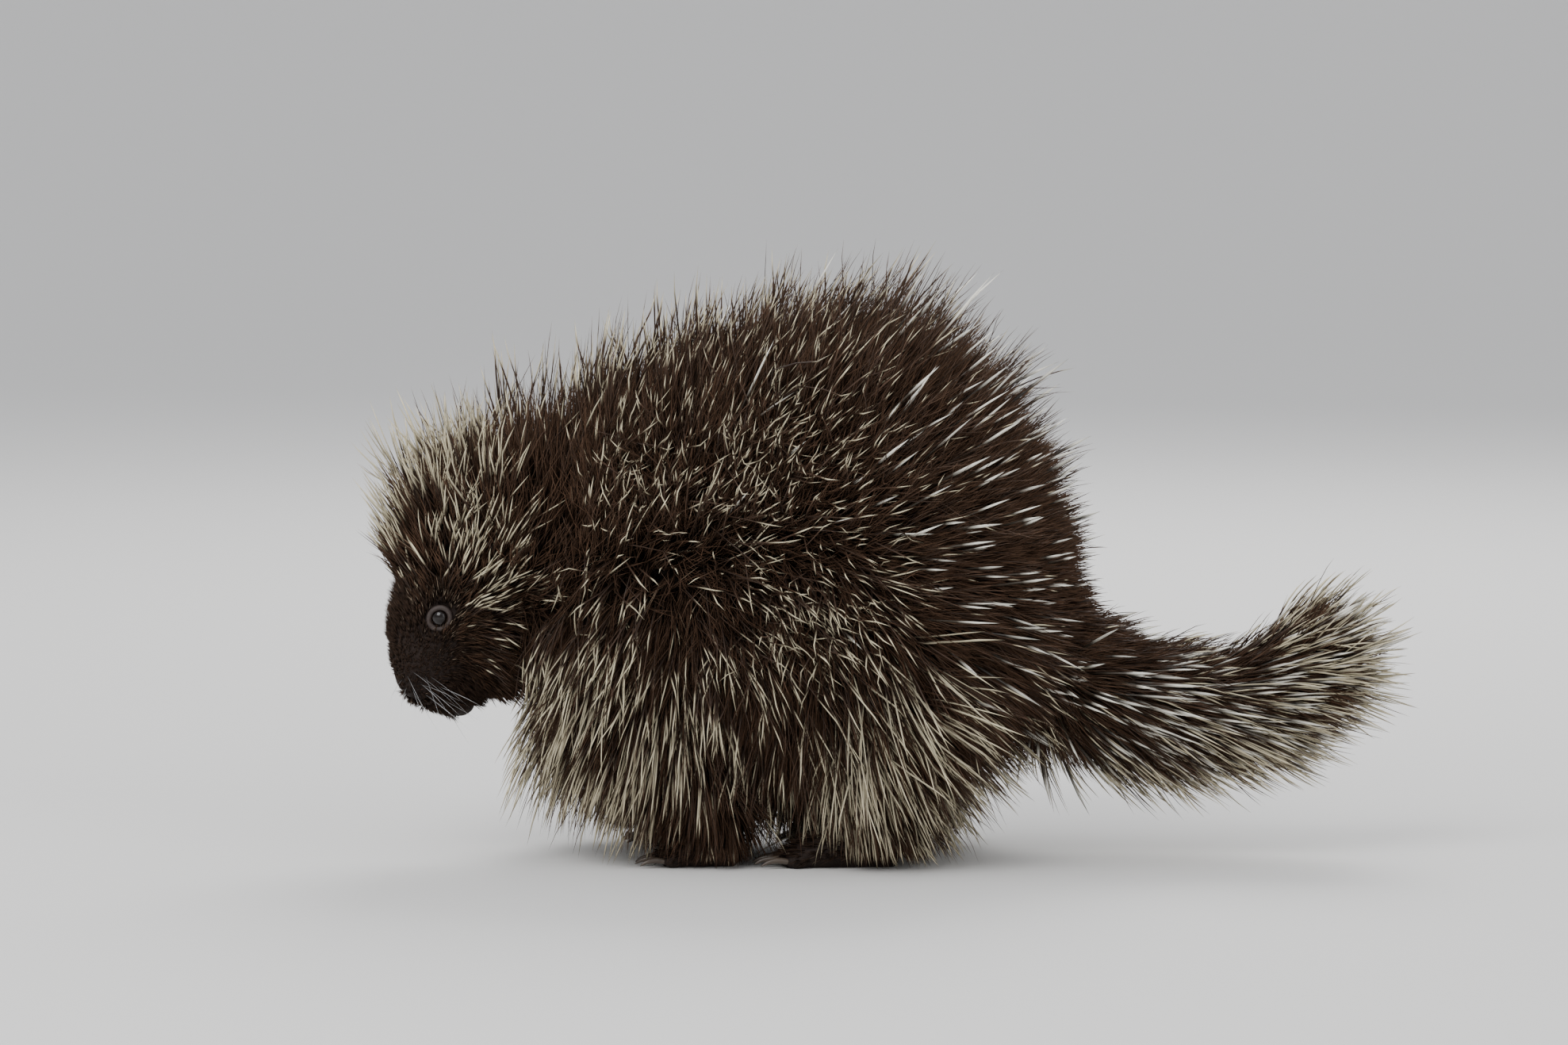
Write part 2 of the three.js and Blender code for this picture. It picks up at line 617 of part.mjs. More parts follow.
// An ear is an upright cup that opens forwards and outwards.
function earCup(side, grow = 0) {
  const axis = ABOVE.clone().multiplyScalar(0.9).addScaledVector(ACROSS, side * 0.55).normalize();
  const centre = headPlace(EAR.ahead, EAR.above, side * EAR.side);
  const reach = [EAR.thick / 2 + grow, EAR.width / 2 + grow, EAR.length / 2 + grow];
  const cup = ball(centre, reach, DETAIL.ear, axis);
  if (grow > 0) return cup;
  const opening = AHEAD.clone().multiplyScalar(0.75).addScaledVector(ACROSS, side * 0.6);
  const inner = reach.map((size) => size - EAR.wall / 2);
  return cup.subtract(ball(centre.addScaledVector(opening, EAR.wall * 1.6), inner, DETAIL.ear, axis));
}

// Feet

function footFlesh({ side, heel, offset, foot }) {
  const y = side * offset;
  const { length, halfWidth, height } = foot;
  const stations = [
    { at: [heel + 3, y, 12], skin: [0, 0, 0] },
    { at: [heel - 4, y, 12], skin: [halfWidth * 0.72, 12, 14] },
    { at: [heel - 0.3 * length, y, 12], skin: [halfWidth * 0.86, height - 12, 14] },
    { at: [heel - 0.62 * length, y, 10], skin: [halfWidth, height * 0.46, 12] },
    { at: [heel - 0.84 * length, y, 8], skin: [halfWidth * 0.92, height * 0.26, 10] },
    { at: [heel - 0.96 * length, y, 7], skin: [0, 0, 0] },
  ].map((station) => ({ ...station, wool: [0, 0, 0] }));
  return new Flesh(stations, anyPlace, UP);
}

function toes({ side, heel, offset, foot }, grow) {
  const pieces = [];
  for (let i = 0; i < foot.toes; i++) {
    const turn = (i / (foot.toes - 1)) * 2 - 1;
    const fan = turn * 0.22;
    const ahead = new THREE.Vector3(-Math.cos(fan), Math.sin(fan), 0);
    const base = new THREE.Vector3(
      heel - foot.length * (0.9 - 0.07 * turn * turn),
      side * offset + turn * (foot.halfWidth - 3.5),
      foot.toeRadius - 0.8,
    );
    const size = foot.toeRadius + grow;
    pieces.push(ball(base, [size, size * 0.95, size * 1.7], DETAIL.toe, ahead));
    pieces.push(claw(base.addScaledVector(ahead, foot.toeRadius * 1.2), ahead, foot.claw, grow));
  }
  return join(pieces);
}

function claw(base, ahead, length, grow) {
  const shape = [[0, 0.6], [0.45, 1.6], [0.8, 0], [1, -2.6]];
  const points = shape.map(([reach, lift]) =>
    base.clone().addScaledVector(ahead, reach * length).setZ(Math.max(base.z + lift, 1.8)),
  );
  points[points.length - 1].addScaledVector(ahead, 3 * grow);
  const width = [2.1, 2, 1.3, 0];
  const across = width.map((size) => size * 0.8 + grow);
  return strand(points, ACROSS, across, width.map((size) => size + grow), DETAIL.claw);
}

function footSolid(leg, grow = 0) {
  const ankle = leg.flesh.solid(DETAIL.leg, 0, grow).trimByPlane([0, 0, -1], -ANKLE_HEIGHT - grow);
  const whole = join([footFlesh(leg).solid(DETAIL.foot, 0, grow), toes(leg, grow), ankle]);
  return whole.trimByPlane([0, 0, 1], -grow).simplify(grow > 0 ? 0.05 : 0.1);
}

// The rows of the coat on each part of the flesh.
const ON_CROWN = 0.42 * Math.PI; // how far round the skull the crest reaches
const ON_CHEEK = 0.9 * Math.PI;
const onCrown = (root, owner) => owner === 'head' && combAt(root).length > 30;
const onCheek = (root, owner) => owner === 'head' && root.x > -282 && combAt(root).length <= 30;
const COAT_LAYERS = [
  { flesh: trunk, form: LOCK, spacing: 36, from: 0.05, to: 0.95, reach: 0.82 * Math.PI, seed: 11 },
  { flesh: trunk, form: QUILL, spacing: 54, from: 0.35, to: 0.95, reach: 0.6 * Math.PI, seed: 12 },
  { flesh: neck, form: CREST_LOCK, spacing: 25, from: 0.25, to: 0.8, reach: 0.85 * Math.PI, seed: 13 },
  { flesh: skull, form: CREST_LOCK, spacing: 19, from: 0.1, to: 0.6, reach: ON_CROWN, seed: 14, keep: onCrown },
  { flesh: skull, form: CREST_LOCK, spacing: 22, from: 0.1, to: 0.5, reach: ON_CHEEK, seed: 15, keep: onCheek },
  { flesh: tail, form: TAIL_LOCK, spacing: 28, from: 0.12, to: 0.98, seed: 16 },
  { flesh: tail, form: QUILL, spacing: 36, from: 0.25, to: 0.96, reach: 0.45 * Math.PI, seed: 17 },
  ...foreLegs.map(({ flesh }) => ({ flesh, form: LOCK, spacing: 34, from: 0.3, to: 0.72, seed: 18 })),
  ...hindLegs.map(({ flesh }) => ({ flesh, form: LOCK, spacing: 38, from: 0.3, to: 0.72, seed: 19 })),
];

// Parting

const limbs = [
  ...foreLegs.map((leg) => ({ ...leg, legName: `foreleg_${leg.name}`, footName: `forefoot_${leg.name}` })),
  ...hindLegs.map((leg) => ({ ...leg, legName: `hindleg_${leg.name}`, footName: `hindfoot_${leg.name}` })),
];

const coat = {};
for (const layer of COAT_LAYERS) growCoat(coat, layer.flesh, layer);
const coatOn = (owner, solid) =>
  coat[owner] ? wasm.Manifold.union([solid, ...coat[owner]]).simplify(COAT_FLATNESS) : solid;

// The limbs' own flesh stops above the feet, and all the flesh together is the core of the body.
const fleshCore = join([
  trunk.solid(DETAIL.trunk),
  neck.solid(DETAIL.neck),
  tail.solid(DETAIL.tail),
  headCore(),
  ...limbs.map((leg) => leg.flesh.solid(DETAIL.leg).trimByPlane([0, 0, 1], ANKLE_HEIGHT + CUT)),
]);

const nodes = {};
const features = [LEFT, RIGHT].map((side) => ({
  name: side === LEFT ? 'left' : 'right',
  eye: ball(eyePlace(side), [EYE.radius, EYE.radius, EYE.radius], DETAIL.eye, eyeLook(side)),
  socket: ball(eyePlace(side), Array(3).fill(EYE.radius + CUT), DETAIL.eye, eyeLook(side)),
  clearance: earCup(side, CUT),
  ear: earCup(side).subtract(skull.solid(DETAIL.skull, 1, CUT)).subtract(neck.solid(DETAIL.neck, 1, CUT)),
  lid: eyelid(side),
  nostril: nostril(side),
}));

const headFlesh = fleshCore.intersect(REGIONS.head.solid(-CUT));
const headHair = features.reduce(
  (hair, { clearance }) => hair.subtract(clearance),
  join(coat.head).intersect(REGIONS.head.solid(-CUT)),
);
let head = join([headFlesh, headHair, ...features.map(({ lid }) => lid)]);
for (const { socket, nostril: opening } of features) head = head.subtract(socket).subtract(opening);
nodes.head = head.subtract(mouthGroove());

nodes.neck = coatOn('neck', fleshCore).intersect(REGIONS.neck.solid());
nodes.tail = coatOn('tail', fleshCore.intersect(REGIONS.tail.solid())).intersect(REGIONS.tail.solid());
for (const leg of limbs) {
  const room = REGIONS[leg.legName].solid();
  const hairy = coatOn(leg.legName, fleshCore.intersect(room)).intersect(room);
  nodes[leg.legName] = hairy.subtract(footSolid(leg, CUT));
  nodes[leg.footName] = footSolid(leg);
}
nodes.torso = ['tail', 'front', ...limbs.map(({ legName }) => legName)].reduce(
  (whole, name) => whole.subtract(REGIONS[name].solid(CUT)),
  coatOn('torso', fleshCore),
);
for (const leg of limbs) nodes.torso = nodes.torso.subtract(footSolid(leg, CUT));
for (const { name, eye, ear } of features) {
  nodes[`eye_${name}`] = eye;
  nodes[`ear_${name}`] = ear;
}

const finishOf = (name) => {
  if (name.startsWith('eye')) return [COLOURS.eye, 0.12];
  if (name.startsWith('ear')) return [COLOURS.ear, 0.85];
  if (name.includes('foot')) return [COLOURS.paw, 0.8];
  if (name === 'head') return [COLOURS.face, 0.85];
  return [name === 'neck' ? COLOURS.crest : COLOURS.coat, 0.9];
};

const group = new THREE.Group();
group.name = 'porcupine';
const ORDER = ['torso', 'neck', 'head', 'tail', 'ear_left', 'ear_right', 'eye_left', 'eye_right'];
for (const name of [...ORDER, ...limbs.flatMap(({ legName, footName }) => [legName, footName])]) {
  const [color, roughness] = finishOf(name);
  const mesh = new THREE.Mesh(
    geometryOf(largestOf(nodes[name].simplify(FLATNESS))),
    new THREE.MeshStandardMaterial({ color, roughness }),
  );
  mesh.name = name;
  group.add(mesh);
}

// The origin goes to the middle of the bottom of the whole.
const bounds = new THREE.Box3().setFromObject(group);
const middle = bounds.getCenter(new THREE.Vector3());
for (const mesh of group.children) mesh.geometry.translate(-middle.x, -middle.y, -bounds.min.z);

export default group;
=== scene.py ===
"""A life-size North American porcupine: its skin, coat, quills, face, feet and claws, on a pale stage.

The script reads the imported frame, lofts one skin inside it, and grows the coat from that skin as
joined meshes: woolly underfur, long guard hair with pale ends, white quills, and short fur on the
face and feet. A combing field says at each place of the side view which way the coat lies, how long
and how pale it is. Places are given in millimetres of the part's source and are moved into the
frame, in metres, by the centre of the left eye.
"""

import math

import bmesh
import bpy
import numpy as np
from mathutils import Matrix, Vector
from mathutils.bvhtree import BVHTree


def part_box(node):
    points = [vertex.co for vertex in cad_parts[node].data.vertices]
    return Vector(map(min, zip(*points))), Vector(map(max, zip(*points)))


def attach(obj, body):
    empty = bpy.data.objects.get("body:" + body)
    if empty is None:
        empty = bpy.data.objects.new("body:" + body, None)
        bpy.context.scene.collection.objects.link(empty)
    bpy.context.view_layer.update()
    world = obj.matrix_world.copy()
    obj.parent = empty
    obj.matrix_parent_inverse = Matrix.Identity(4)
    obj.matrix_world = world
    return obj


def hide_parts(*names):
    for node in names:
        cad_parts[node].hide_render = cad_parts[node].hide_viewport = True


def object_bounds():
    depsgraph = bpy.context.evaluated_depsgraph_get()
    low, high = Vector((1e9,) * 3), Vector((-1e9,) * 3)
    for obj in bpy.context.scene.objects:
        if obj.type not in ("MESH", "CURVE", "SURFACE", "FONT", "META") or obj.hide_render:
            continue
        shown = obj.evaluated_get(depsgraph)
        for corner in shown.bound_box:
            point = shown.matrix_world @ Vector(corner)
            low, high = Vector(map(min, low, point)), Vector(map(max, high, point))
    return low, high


bl_info = {
    "name": "Porcupine",
    "version": (1, 0, 0),
    "blender": (4, 5, 0),
    "location": "View3D > Sidebar > Porcupine",
    "description": "Builds a life-size porcupine with its skin, coat and quills over a packed frame",
    "category": "Add Mesh",
}

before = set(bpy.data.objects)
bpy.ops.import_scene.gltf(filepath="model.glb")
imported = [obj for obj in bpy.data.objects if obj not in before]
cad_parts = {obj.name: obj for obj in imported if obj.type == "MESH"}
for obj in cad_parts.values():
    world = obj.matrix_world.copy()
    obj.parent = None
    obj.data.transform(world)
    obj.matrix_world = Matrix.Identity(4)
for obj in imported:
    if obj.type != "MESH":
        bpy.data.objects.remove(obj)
CAD_BOX = [list(corner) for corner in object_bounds()]

MM = 0.001
TUFT_PATCH = 0.003  # the size of a tuft's patch in the unwrap
MOST_TRIANGLES = 190000  # in one piece of the coat
SMOOTHINGS = 3  # of the fused skin
LEFT = -1
RIGHT = 1
SIDES = ((LEFT, "left"), (RIGHT, "right"))
UP = np.array([0.0, 0.0, 1.0])
FORWARD = np.array([-1.0, 0.0, 0.0])
ACROSS = np.array([0.0, 1.0, 0.0])

# Trunk, neck and tail: the place of the spine (x, z) and the reach of the skin to the side, upwards
# and downwards at each station.
TRUNK = [
    ((-222, 190), (0, 0, 0)),
    ((-205, 190), (48, 60, 70)),
    ((-180, 190), (66, 80, 92)),
    ((-140, 191), (80, 97, 109)),
    ((-90, 194), (90, 113, 126)),
    ((-40, 197), (98, 123, 136)),
    ((5, 198), (101, 126, 137)),
    ((45, 193), (96, 101, 126)),
    ((80, 180), (80, 68, 102)),
    ((108, 163), (58, 36, 70)),
    ((126, 150), (36, 25, 42)),
    ((138, 142), (0, 0, 0)),
]
NECK = [
    ((-160, 206), (0, 0, 0)),
    ((-185, 206), (54, 58, 58)),
    ((-215, 207), (48, 52, 58)),
    ((-242, 205), (44, 48, 52)),
    ((-268, 196), (34, 38, 38)),
    ((-282, 190), (0, 0, 0)),
]
TAIL = [
    ((104, 144), (0, 0, 0)),
    ((134, 128), (38, 32, 30)),
    ((165, 115), (33, 26, 26)),
    ((205, 107), (28, 22, 22)),
    ((245, 110), (24, 19, 19)),
    ((280, 124), (22, 18, 18)),
    ((305, 140), (16, 13, 13)),
    ((316, 148), (0, 0, 0)),
]

# The skull has its own frame: "ahead" runs to the nose and "above" to the crown, from midway
# between the eyes.
EYES_AT = np.array([-298.0, 0.0, 169.0])
HEAD_PITCH = math.radians(48)
AHEAD = np.array([-math.cos(HEAD_PITCH), 0, -math.sin(HEAD_PITCH)])
ABOVE = np.array([-math.sin(HEAD_PITCH), 0, math.cos(HEAD_PITCH)])
SKULL = [
    ((-84, -8), (0, 0, 0)),
    ((-70, -8), (36, 34, 36)),
    ((-48, -10), (41, 45, 46)),
    ((-22, -12), (40, 48, 50)),
    ((2, -13), (34, 46, 54)),
    ((22, -15), (29, 39, 48)),
    ((38, -17), (25.5, 31, 34)),
    ((51, -14), (19, 21, 23)),
    ((61, -12), (0, 0, 0)),
]
EYE_SIDE = 31.5
EYE_RADIUS = 6.5
SOCKET = {"radius": 7.5, "depth": 3.5}
# "corner" draws out the front corner of the lids, and "sunk" is how deep both corners lie.
LID = {"radius": 7.5, "thick": 1.9, "ahead": 3.2, "long": 1.05, "tall": 0.95, "corner": 0.12, "sunk": 1.2}
EAR = {
    "ahead": -58, "above": 10, "side": 42, "length": 24, "width": 19, "thick": 11,
    "cut": 1.2, "wall": 1.3,
}
LIP_PAD = {"ahead": 45, "above": -20, "side": 11, "reach": (13, 12, 14)}
CHIN = {"ahead": 38, "above": -46, "reach": (15, 17, 13)}
BRIDGE = {"ahead": 36, "above": -1, "reach": (14, 13, 12)}
NOSTRIL = {"ahead": 53.5, "above": -6, "side": 8.5, "tall": 3.4, "wide": 2.1, "depth": 4.5}
NOSE_PAD = {"ahead": 55, "above": -9, "radius": 11.5}
MOUTH = [(60, -29), (54, -31), (46, -33), (36, -35), (26, -37)]
MOUTH_LINE = {"width": 1.1, "depth": 2.6, "reach": 3}
LEAST_DENT = 0.0001  # in metres
# The face is carved within "carved" of this place, on a skin that is cut finer within each of "finer".
MUZZLE = {"ahead": 50, "above": -20, "carved": 90, "finer": (34, 26)}

FORE_FOOT = {"length": 54, "half_width": 15, "height": 26, "toes": 4, "toe": 5.2, "claw": 18}
HIND_FOOT = {"length": 84, "half_width": 17, "height": 28, "toes": 5, "toe": 5.6, "claw": 20}
TOE_FAN = 0.22  # how far the outer toes point aside, in radians
# Half the thickness of a claw at shares of its length, and how it arches, drops and clears the floor.
CLAW = ((-0.05, 0), (0.05, 2.0), (0.35, 2.1), (0.7, 1.5), (0.93, 0.7), (1.0, 0))
CLAW_ARCH, CLAW_DROP, CLAW_CLEAR = 1.4, 2.6, 0.4
# Short fur grows where the combing field is "under" this length and "clear" of the eye, and is a
# share of its "longest" that depends on how far ahead of the eyes it grows.
FACE_FUR = {"under": 45, "longest": 14, "clear": 8.4}
FACE_FUR_BY_AHEAD = (-30, 10, 50), (1.1, 0.8, 0.5)
WHISKERS = {"tried": 700, "kept": 36, "side": 20, "within": 13, "length": 46}
FORE_LEGS = [
    {"side": LEFT, "heel": -92, "offset": 59, "root": (-160, 44, 152), "bend": (-142, 56, 94)},
    {"side": RIGHT, "heel": -104, "offset": 58, "root": (-164, 44, 152), "bend": (-148, 55, 94)},
]
HIND_LEGS = [
    {"side": LEFT, "heel": 18, "offset": 61, "root": (42, 40, 168), "bend": (0, 64, 96)},
    {"side": RIGHT, "heel": 34, "offset": 60, "root": (46, 40, 168), "bend": (8, 62, 96)},
]

# The combing field: place (x, z), lie in degrees above +X, length of the hair, lean out from the
# body, share of pale hairs, where along a hair its pale part starts, untidiness, share of quills.
COMB = [
    ((-328, 176), 104, 13, 0.5, 0.05, 0.5, 0.15, 0.0),  # bridge of the nose
    ((-336, 145), 100, 10, 0.6, 0.0, 0.5, 0.15, 0.0),  # end of the nose
    ((-312, 140), 60, 7, 0.5, 0.0, 0.5, 0.15, 0.0),  # muzzle
    ((-282, 112), -30, 15, 0.4, 0.0, 0.5, 0.20, 0.0),  # chin
    ((-321, 205), 118, 66, 0.3, 0.80, 0.30, 0.12, 0.0),  # forehead
    ((-304, 224), 115, 98, 0.25, 0.95, 0.35, 0.12, 0.0),  # crown
    ((-272, 240), 98, 94, 0.25, 0.60, 0.45, 0.12, 0.0),  # back of the crown
    ((-235, 252), 88, 104, 0.25, 0.30, 0.60, 0.12, 0.0),  # nape
    ((-187, 268), 82, 108, 0.25, 0.45, 0.65, 0.14, 0.0),  # withers
    ((-130, 292), 76, 102, 0.25, 0.50, 0.70, 0.18, 0.05),  # front of the back
    ((-70, 312), 68, 104, 0.3, 0.50, 0.72, 0.22, 0.1),  # back
    ((0, 324), 60, 102, 0.3, 0.25, 0.72, 0.18, 0.3),  # top of the back
    ((50, 308), 52, 84, 0.35, 0.08, 0.72, 0.14, 0.45),  # top of the rump
    ((85, 268), 40, 58, 0.35, 0.02, 0.70, 0.12, 0.5),  # rump
    ((108, 225), 24, 40, 0.35, 0.02, 0.70, 0.12, 0.4),  # back of the rump
    ((124, 182), 6, 28, 0.3, 0.02, 0.70, 0.12, 0.15),  # over the tail
    ((-276, 196), 62, 46, 0.45, 0.90, 0.35, 0.12, 0.0),  # temple
    ((-268, 176), 35, 34, 0.4, 0.75, 0.40, 0.12, 0.0),  # behind the eye
    ((-262, 152), -14, 28, 0.3, 0.15, 0.50, 0.12, 0.0),  # cheek
    ((-248, 132), -32, 26, 0.3, 0.05, 0.50, 0.12, 0.0),  # jaw
    ((-226, 205), 62, 58, 0.6, 0.15, 0.70, 0.25, 0.0),  # side of the neck
    ((-218, 150), -98, 64, 0.3, 0.50, 0.40, 0.12, 0.0),  # throat
    ((-160, 240), 55, 62, 0.8, 0.60, 0.66, 0.65, 0.0),  # high shoulder
    ((-170, 185), -104, 76, 0.4, 0.62, 0.50, 0.25, 0.0),  # shoulder
    ((-196, 130), -106, 96, 0.25, 0.60, 0.30, 0.10, 0.0),  # chest
    ((-205, 95), -108, 84, 0.35, 0.20, 0.40, 0.15, 0.0),  # low chest
    ((-150, 100), -102, 70, 0.25, 0.52, 0.30, 0.10, 0.0),  # foreleg
    ((-70, 255), 42, 62, 0.8, 0.75, 0.66, 0.70, 0.1),  # high flank
    ((-60, 195), -45, 60, 0.7, 0.80, 0.62, 0.65, 0.05),  # flank
    ((10, 260), 36, 70, 0.5, 0.25, 0.70, 0.35, 0.5),  # loin
    ((40, 205), 8, 60, 0.4, 0.04, 0.70, 0.15, 0.7),  # haunch
    ((60, 150), -24, 74, 0.3, 0.08, 0.60, 0.12, 0.5),  # low haunch
    ((-70, 130), -96, 76, 0.3, 0.30, 0.45, 0.18, 0.0),  # low flank
    ((-108, 66), -98, 60, 0.3, 0.06, 0.45, 0.15, 0.0),  # behind the foreleg
    ((-10, 140), -64, 108, 0.3, 0.66, 0.22, 0.12, 0.0),  # thigh
    ((-20, 70), -80, 70, 0.25, 0.58, 0.25, 0.10, 0.0),  # shank
    ((70, 105), -42, 68, 0.3, 0.30, 0.40, 0.12, 0.3),  # back of the thigh
    ((150, 145), 2, 42, 0.3, 0.03, 0.60, 0.10, 0.08),  # top of the tail root
    ((150, 115), -20, 78, 0.25, 0.35, 0.45, 0.08, 1.0),  # side of the tail root
    ((150, 88), -34, 74, 0.2, 0.55, 0.30, 0.08, 0.3),  # under the tail root
    ((222, 130), 12, 44, 0.4, 0.05, 0.60, 0.10, 0.04),  # top of the tail
    ((222, 106), -12, 84, 0.2, 0.85, 0.30, 0.06, 1.0),  # side of the tail
    ((222, 86), -22, 66, 0.2, 0.55, 0.30, 0.08, 0.2),  # under the tail
    ((292, 148), 44, 58, 0.25, 0.65, 0.30, 0.08, 0.4),  # top of the tail end
    ((290, 130), 14, 66, 0.25, 0.95, 0.25, 0.06, 0.8),  # side of the tail end
    ((290, 112), -16, 62, 0.25, 0.50, 0.30, 0.08, 0.1),  # under the tail end
]
FIELD_BLUR = 3  # how near a mark its own values hold, in millimetres
FIELD_AT = np.array([mark[0] for mark in COMB], dtype=float)
FIELD = np.array(
    [
        (math.cos(math.radians(mark[1])), math.sin(math.radians(mark[1])), *mark[2:])
        for mark in COMB
    ]
)

eye_low, eye_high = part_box("eye_left")
SHIFT = (np.array(eye_low) + np.array(eye_high)) / 2 - MM * (EYES_AT + LEFT * EYE_SIDE * ACROSS)

# The room that the coat keeps to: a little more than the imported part's box, and clear of the floor.
CAD_LOW, CAD_HIGH = np.array(CAD_BOX)
COAT_SLACK = 0.02 * (CAD_HIGH - CAD_LOW) + 0.007
COAT_LOW = (CAD_LOW - COAT_SLACK - SHIFT) / MM
COAT_HIGH = (CAD_HIGH + COAT_SLACK - SHIFT) / MM
COAT_LOW[2] = 1.0


def unit(vectors):
    return vectors / np.maximum(np.linalg.norm(vectors, axis=-1, keepdims=True), 1e-9)


def in_frame(points):
    """Moves places of the part's source, in millimetres, into the frame, in metres."""
    return np.asarray(points, dtype=float) * MM + SHIFT


def head_place(ahead, above, side=0.0):
    return EYES_AT + ahead * AHEAD + above * ABOVE + side * ACROSS


def head_spot(ahead, above, side=0.0):
    """The same as a vector in the frame."""
    return Vector(in_frame(head_place(ahead, above, side)))


def smooth_curve(points, steps=24):
    """Points along a centripetal Catmull-Rom curve, the same number for each span."""
    points = np.asarray(points, dtype=float)
    ends = 2 * points[0] - points[1], 2 * points[-1] - points[-2]
    padded = np.vstack([ends[0], points, ends[1]])
    spans = np.linalg.norm(np.diff(padded, axis=0), axis=1) ** 0.5
    spans[spans < 1e-2] = 1.0
    curve = []
    for i in range(1, len(padded) - 2):
        before, start, end, after = padded[i - 1 : i + 3]
        d0, d1, d2 = spans[i - 1 : i + 2]
        leave = ((start - before) / d0 - (end - before) / (d0 + d1) + (end - start) / d1) * d1
        arrive = ((end - start) / d1 - (after - start) / (d1 + d2) + (after - end) / d2) * d1
        t = np.linspace(0, 1, steps, endpoint=False)[:, None]
        square = t * t
        cube = square * t
        curve.append(
            start
            + leave * t
            + (3 * (end - start) - 2 * leave - arrive) * square
            + (2 * (start - end) + leave + arrive) * cube
        )
    curve.append(points[-1:])
    return np.vstack(curve)


class Flesh:
    """A tube of flesh: places on it are given by how far along it they are and the angle round it."""

    def __init__(self, stations, place, top=UP):
        self.spine = smooth_curve([place(station[0]) for station in stations])
        self.reach = np.maximum(smooth_curve([station[1] for station in stations]), 0)
        self.tangent = unit(np.gradient(self.spine, axis=0))
        self.steps = np.linspace(0, 1, len(self.spine))
        self.top = top

    def _read(self, table, along):
        return np.stack([np.interp(along, self.steps, table[:, i]) for i in range(3)], axis=-1)

    def point(self, along, angle):
        tangent = unit(self._read(self.tangent, along))
        rise = unit(self.top - tangent * (tangent @ self.top)[:, None])
        side = np.cross(rise, tangent)
        reach = self._read(self.reach, along)
        lift = np.where(np.cos(angle) > 0, reach[:, 1], reach[:, 2])
        return (
            self._read(self.spine, along)
            + side * (np.sin(angle) * reach[:, 0])[:, None]
            + rise * (np.cos(angle) * lift)[:, None]
        )

    def roots(self, count, draw, start=0.02, end=0.98, wanted=None):
        """Spreads places evenly over the tube, closer together where "wanted" is high."""
        rows, columns = 90, 90
        along = start + (np.arange(rows) + 0.5) / rows * (end - start)
        angle = ((np.arange(columns) + 0.5) / columns * 2 - 1) * math.pi
        along, angle = [grid.ravel() for grid in np.meshgrid(along, angle, indexing="ij")]
        step = (end - start) / rows
        middle = self.point(along, angle)
        lengthwise = self.point(np.minimum(along + step, 1), angle) - middle
        around = self.point(along, angle + 2 * math.pi / columns) - middle
        weight = np.linalg.norm(np.cross(lengthwise, around), axis=1)
        if wanted is not None:
            weight = weight * wanted(middle)
        share = np.cumsum(weight) / weight.sum()
        cell = np.searchsorted(share, (np.arange(count) + draw.random(count)) / count)
        cell = np.minimum(cell, len(share) - 1)
        along = along[cell] + (draw.random(count) - 0.5) * step
        angle = angle[cell] + (draw.random(count) - 0.5) * 2 * math.pi / columns
        return along, angle


def limb(points, top=UP):
    """A tube through points, each its place and its reach to the side, upwards and downwards."""
    return Flesh([(point[:3], point[3:]) for point in points], np.array, top)


def fore_leg(leg):
    side, y, heel = leg["side"], leg["side"] * leg["offset"], leg["heel"]
    (sx, sy, sz), (ex, ey, ez) = leg["root"], leg["bend"]
    points = [
        (sx, side * sy, sz, 0, 0, 0),
        (sx + 2, side * (sy + 5), sz - 24, 27, 36, 36),
        (ex, side * ey, ez, 22, 26, 26),
        ((ex + heel - 12) / 2, y, 60, 16, 18, 18),
        (heel - 13, y, 36, 13, 14, 14),
        (heel - 15, y, 20, 11, 12, 12),
        (heel - 16, y, 8, 0, 0, 0),
    ]
    return limb(points, FORWARD)


def hind_leg(leg):
    side, y, heel = leg["side"], leg["side"] * leg["offset"], leg["heel"]
    (hx, hy, hz), (kx, ky, kz) = leg["root"], leg["bend"]
    points = [
        (hx, side * hy, hz, 0, 0, 0),
        (hx - 14, side * (hy + 8), hz - 30, 38, 48, 48),
        (kx + 8, side * ky, kz + 6, 30, 36, 36),
        ((kx + heel - 14) / 2, y, 62, 20, 23, 23),
        (heel - 14, y, 36, 15, 17, 17),
        (heel - 15, y, 20, 12, 14, 14),
        (heel - 16, y, 8, 0, 0, 0),
    ]
    return limb(points, FORWARD)


def foot_of(leg, foot):
    y, heel = leg["side"] * leg["offset"], leg["heel"]
    length, half, height = foot["length"], foot["half_width"], foot["height"]
    points = [
        (heel + 3, y, 12, 0, 0, 0),
        (heel - 4, y, 12, half * 0.72, 12, 14),
        (heel - 0.3 * length, y, 12, half * 0.86, height - 12, 14),
        (heel - 0.62 * length, y, 10, half, height * 0.46, 12),
        (heel - 0.84 * length, y, 8, half * 0.92, height * 0.26, 10),
        (heel - 0.96 * length, y, 7, 0, 0, 0),
    ]
    return limb(points)


def spine_place(at):
    return np.array([at[0], 0.0, at[1]])


def distance(points, place):
    return np.linalg.norm(points - place, axis=1)


trunk = Flesh(TRUNK, spine_place)
neck = Flesh(NECK, spine_place)
tail = Flesh(TAIL, spine_place)
skull = Flesh(SKULL, lambda at: head_place(*at))
fore_legs = [fore_leg(leg) for leg in FORE_LEGS]
hind_legs = [hind_leg(leg) for leg in HIND_LEGS]
FEET = [(leg, FORE_FOOT) for leg in FORE_LEGS] + [(leg, HIND_FOOT) for leg in HIND_LEGS]
feet = [foot_of(leg, foot) for leg, foot in FEET]

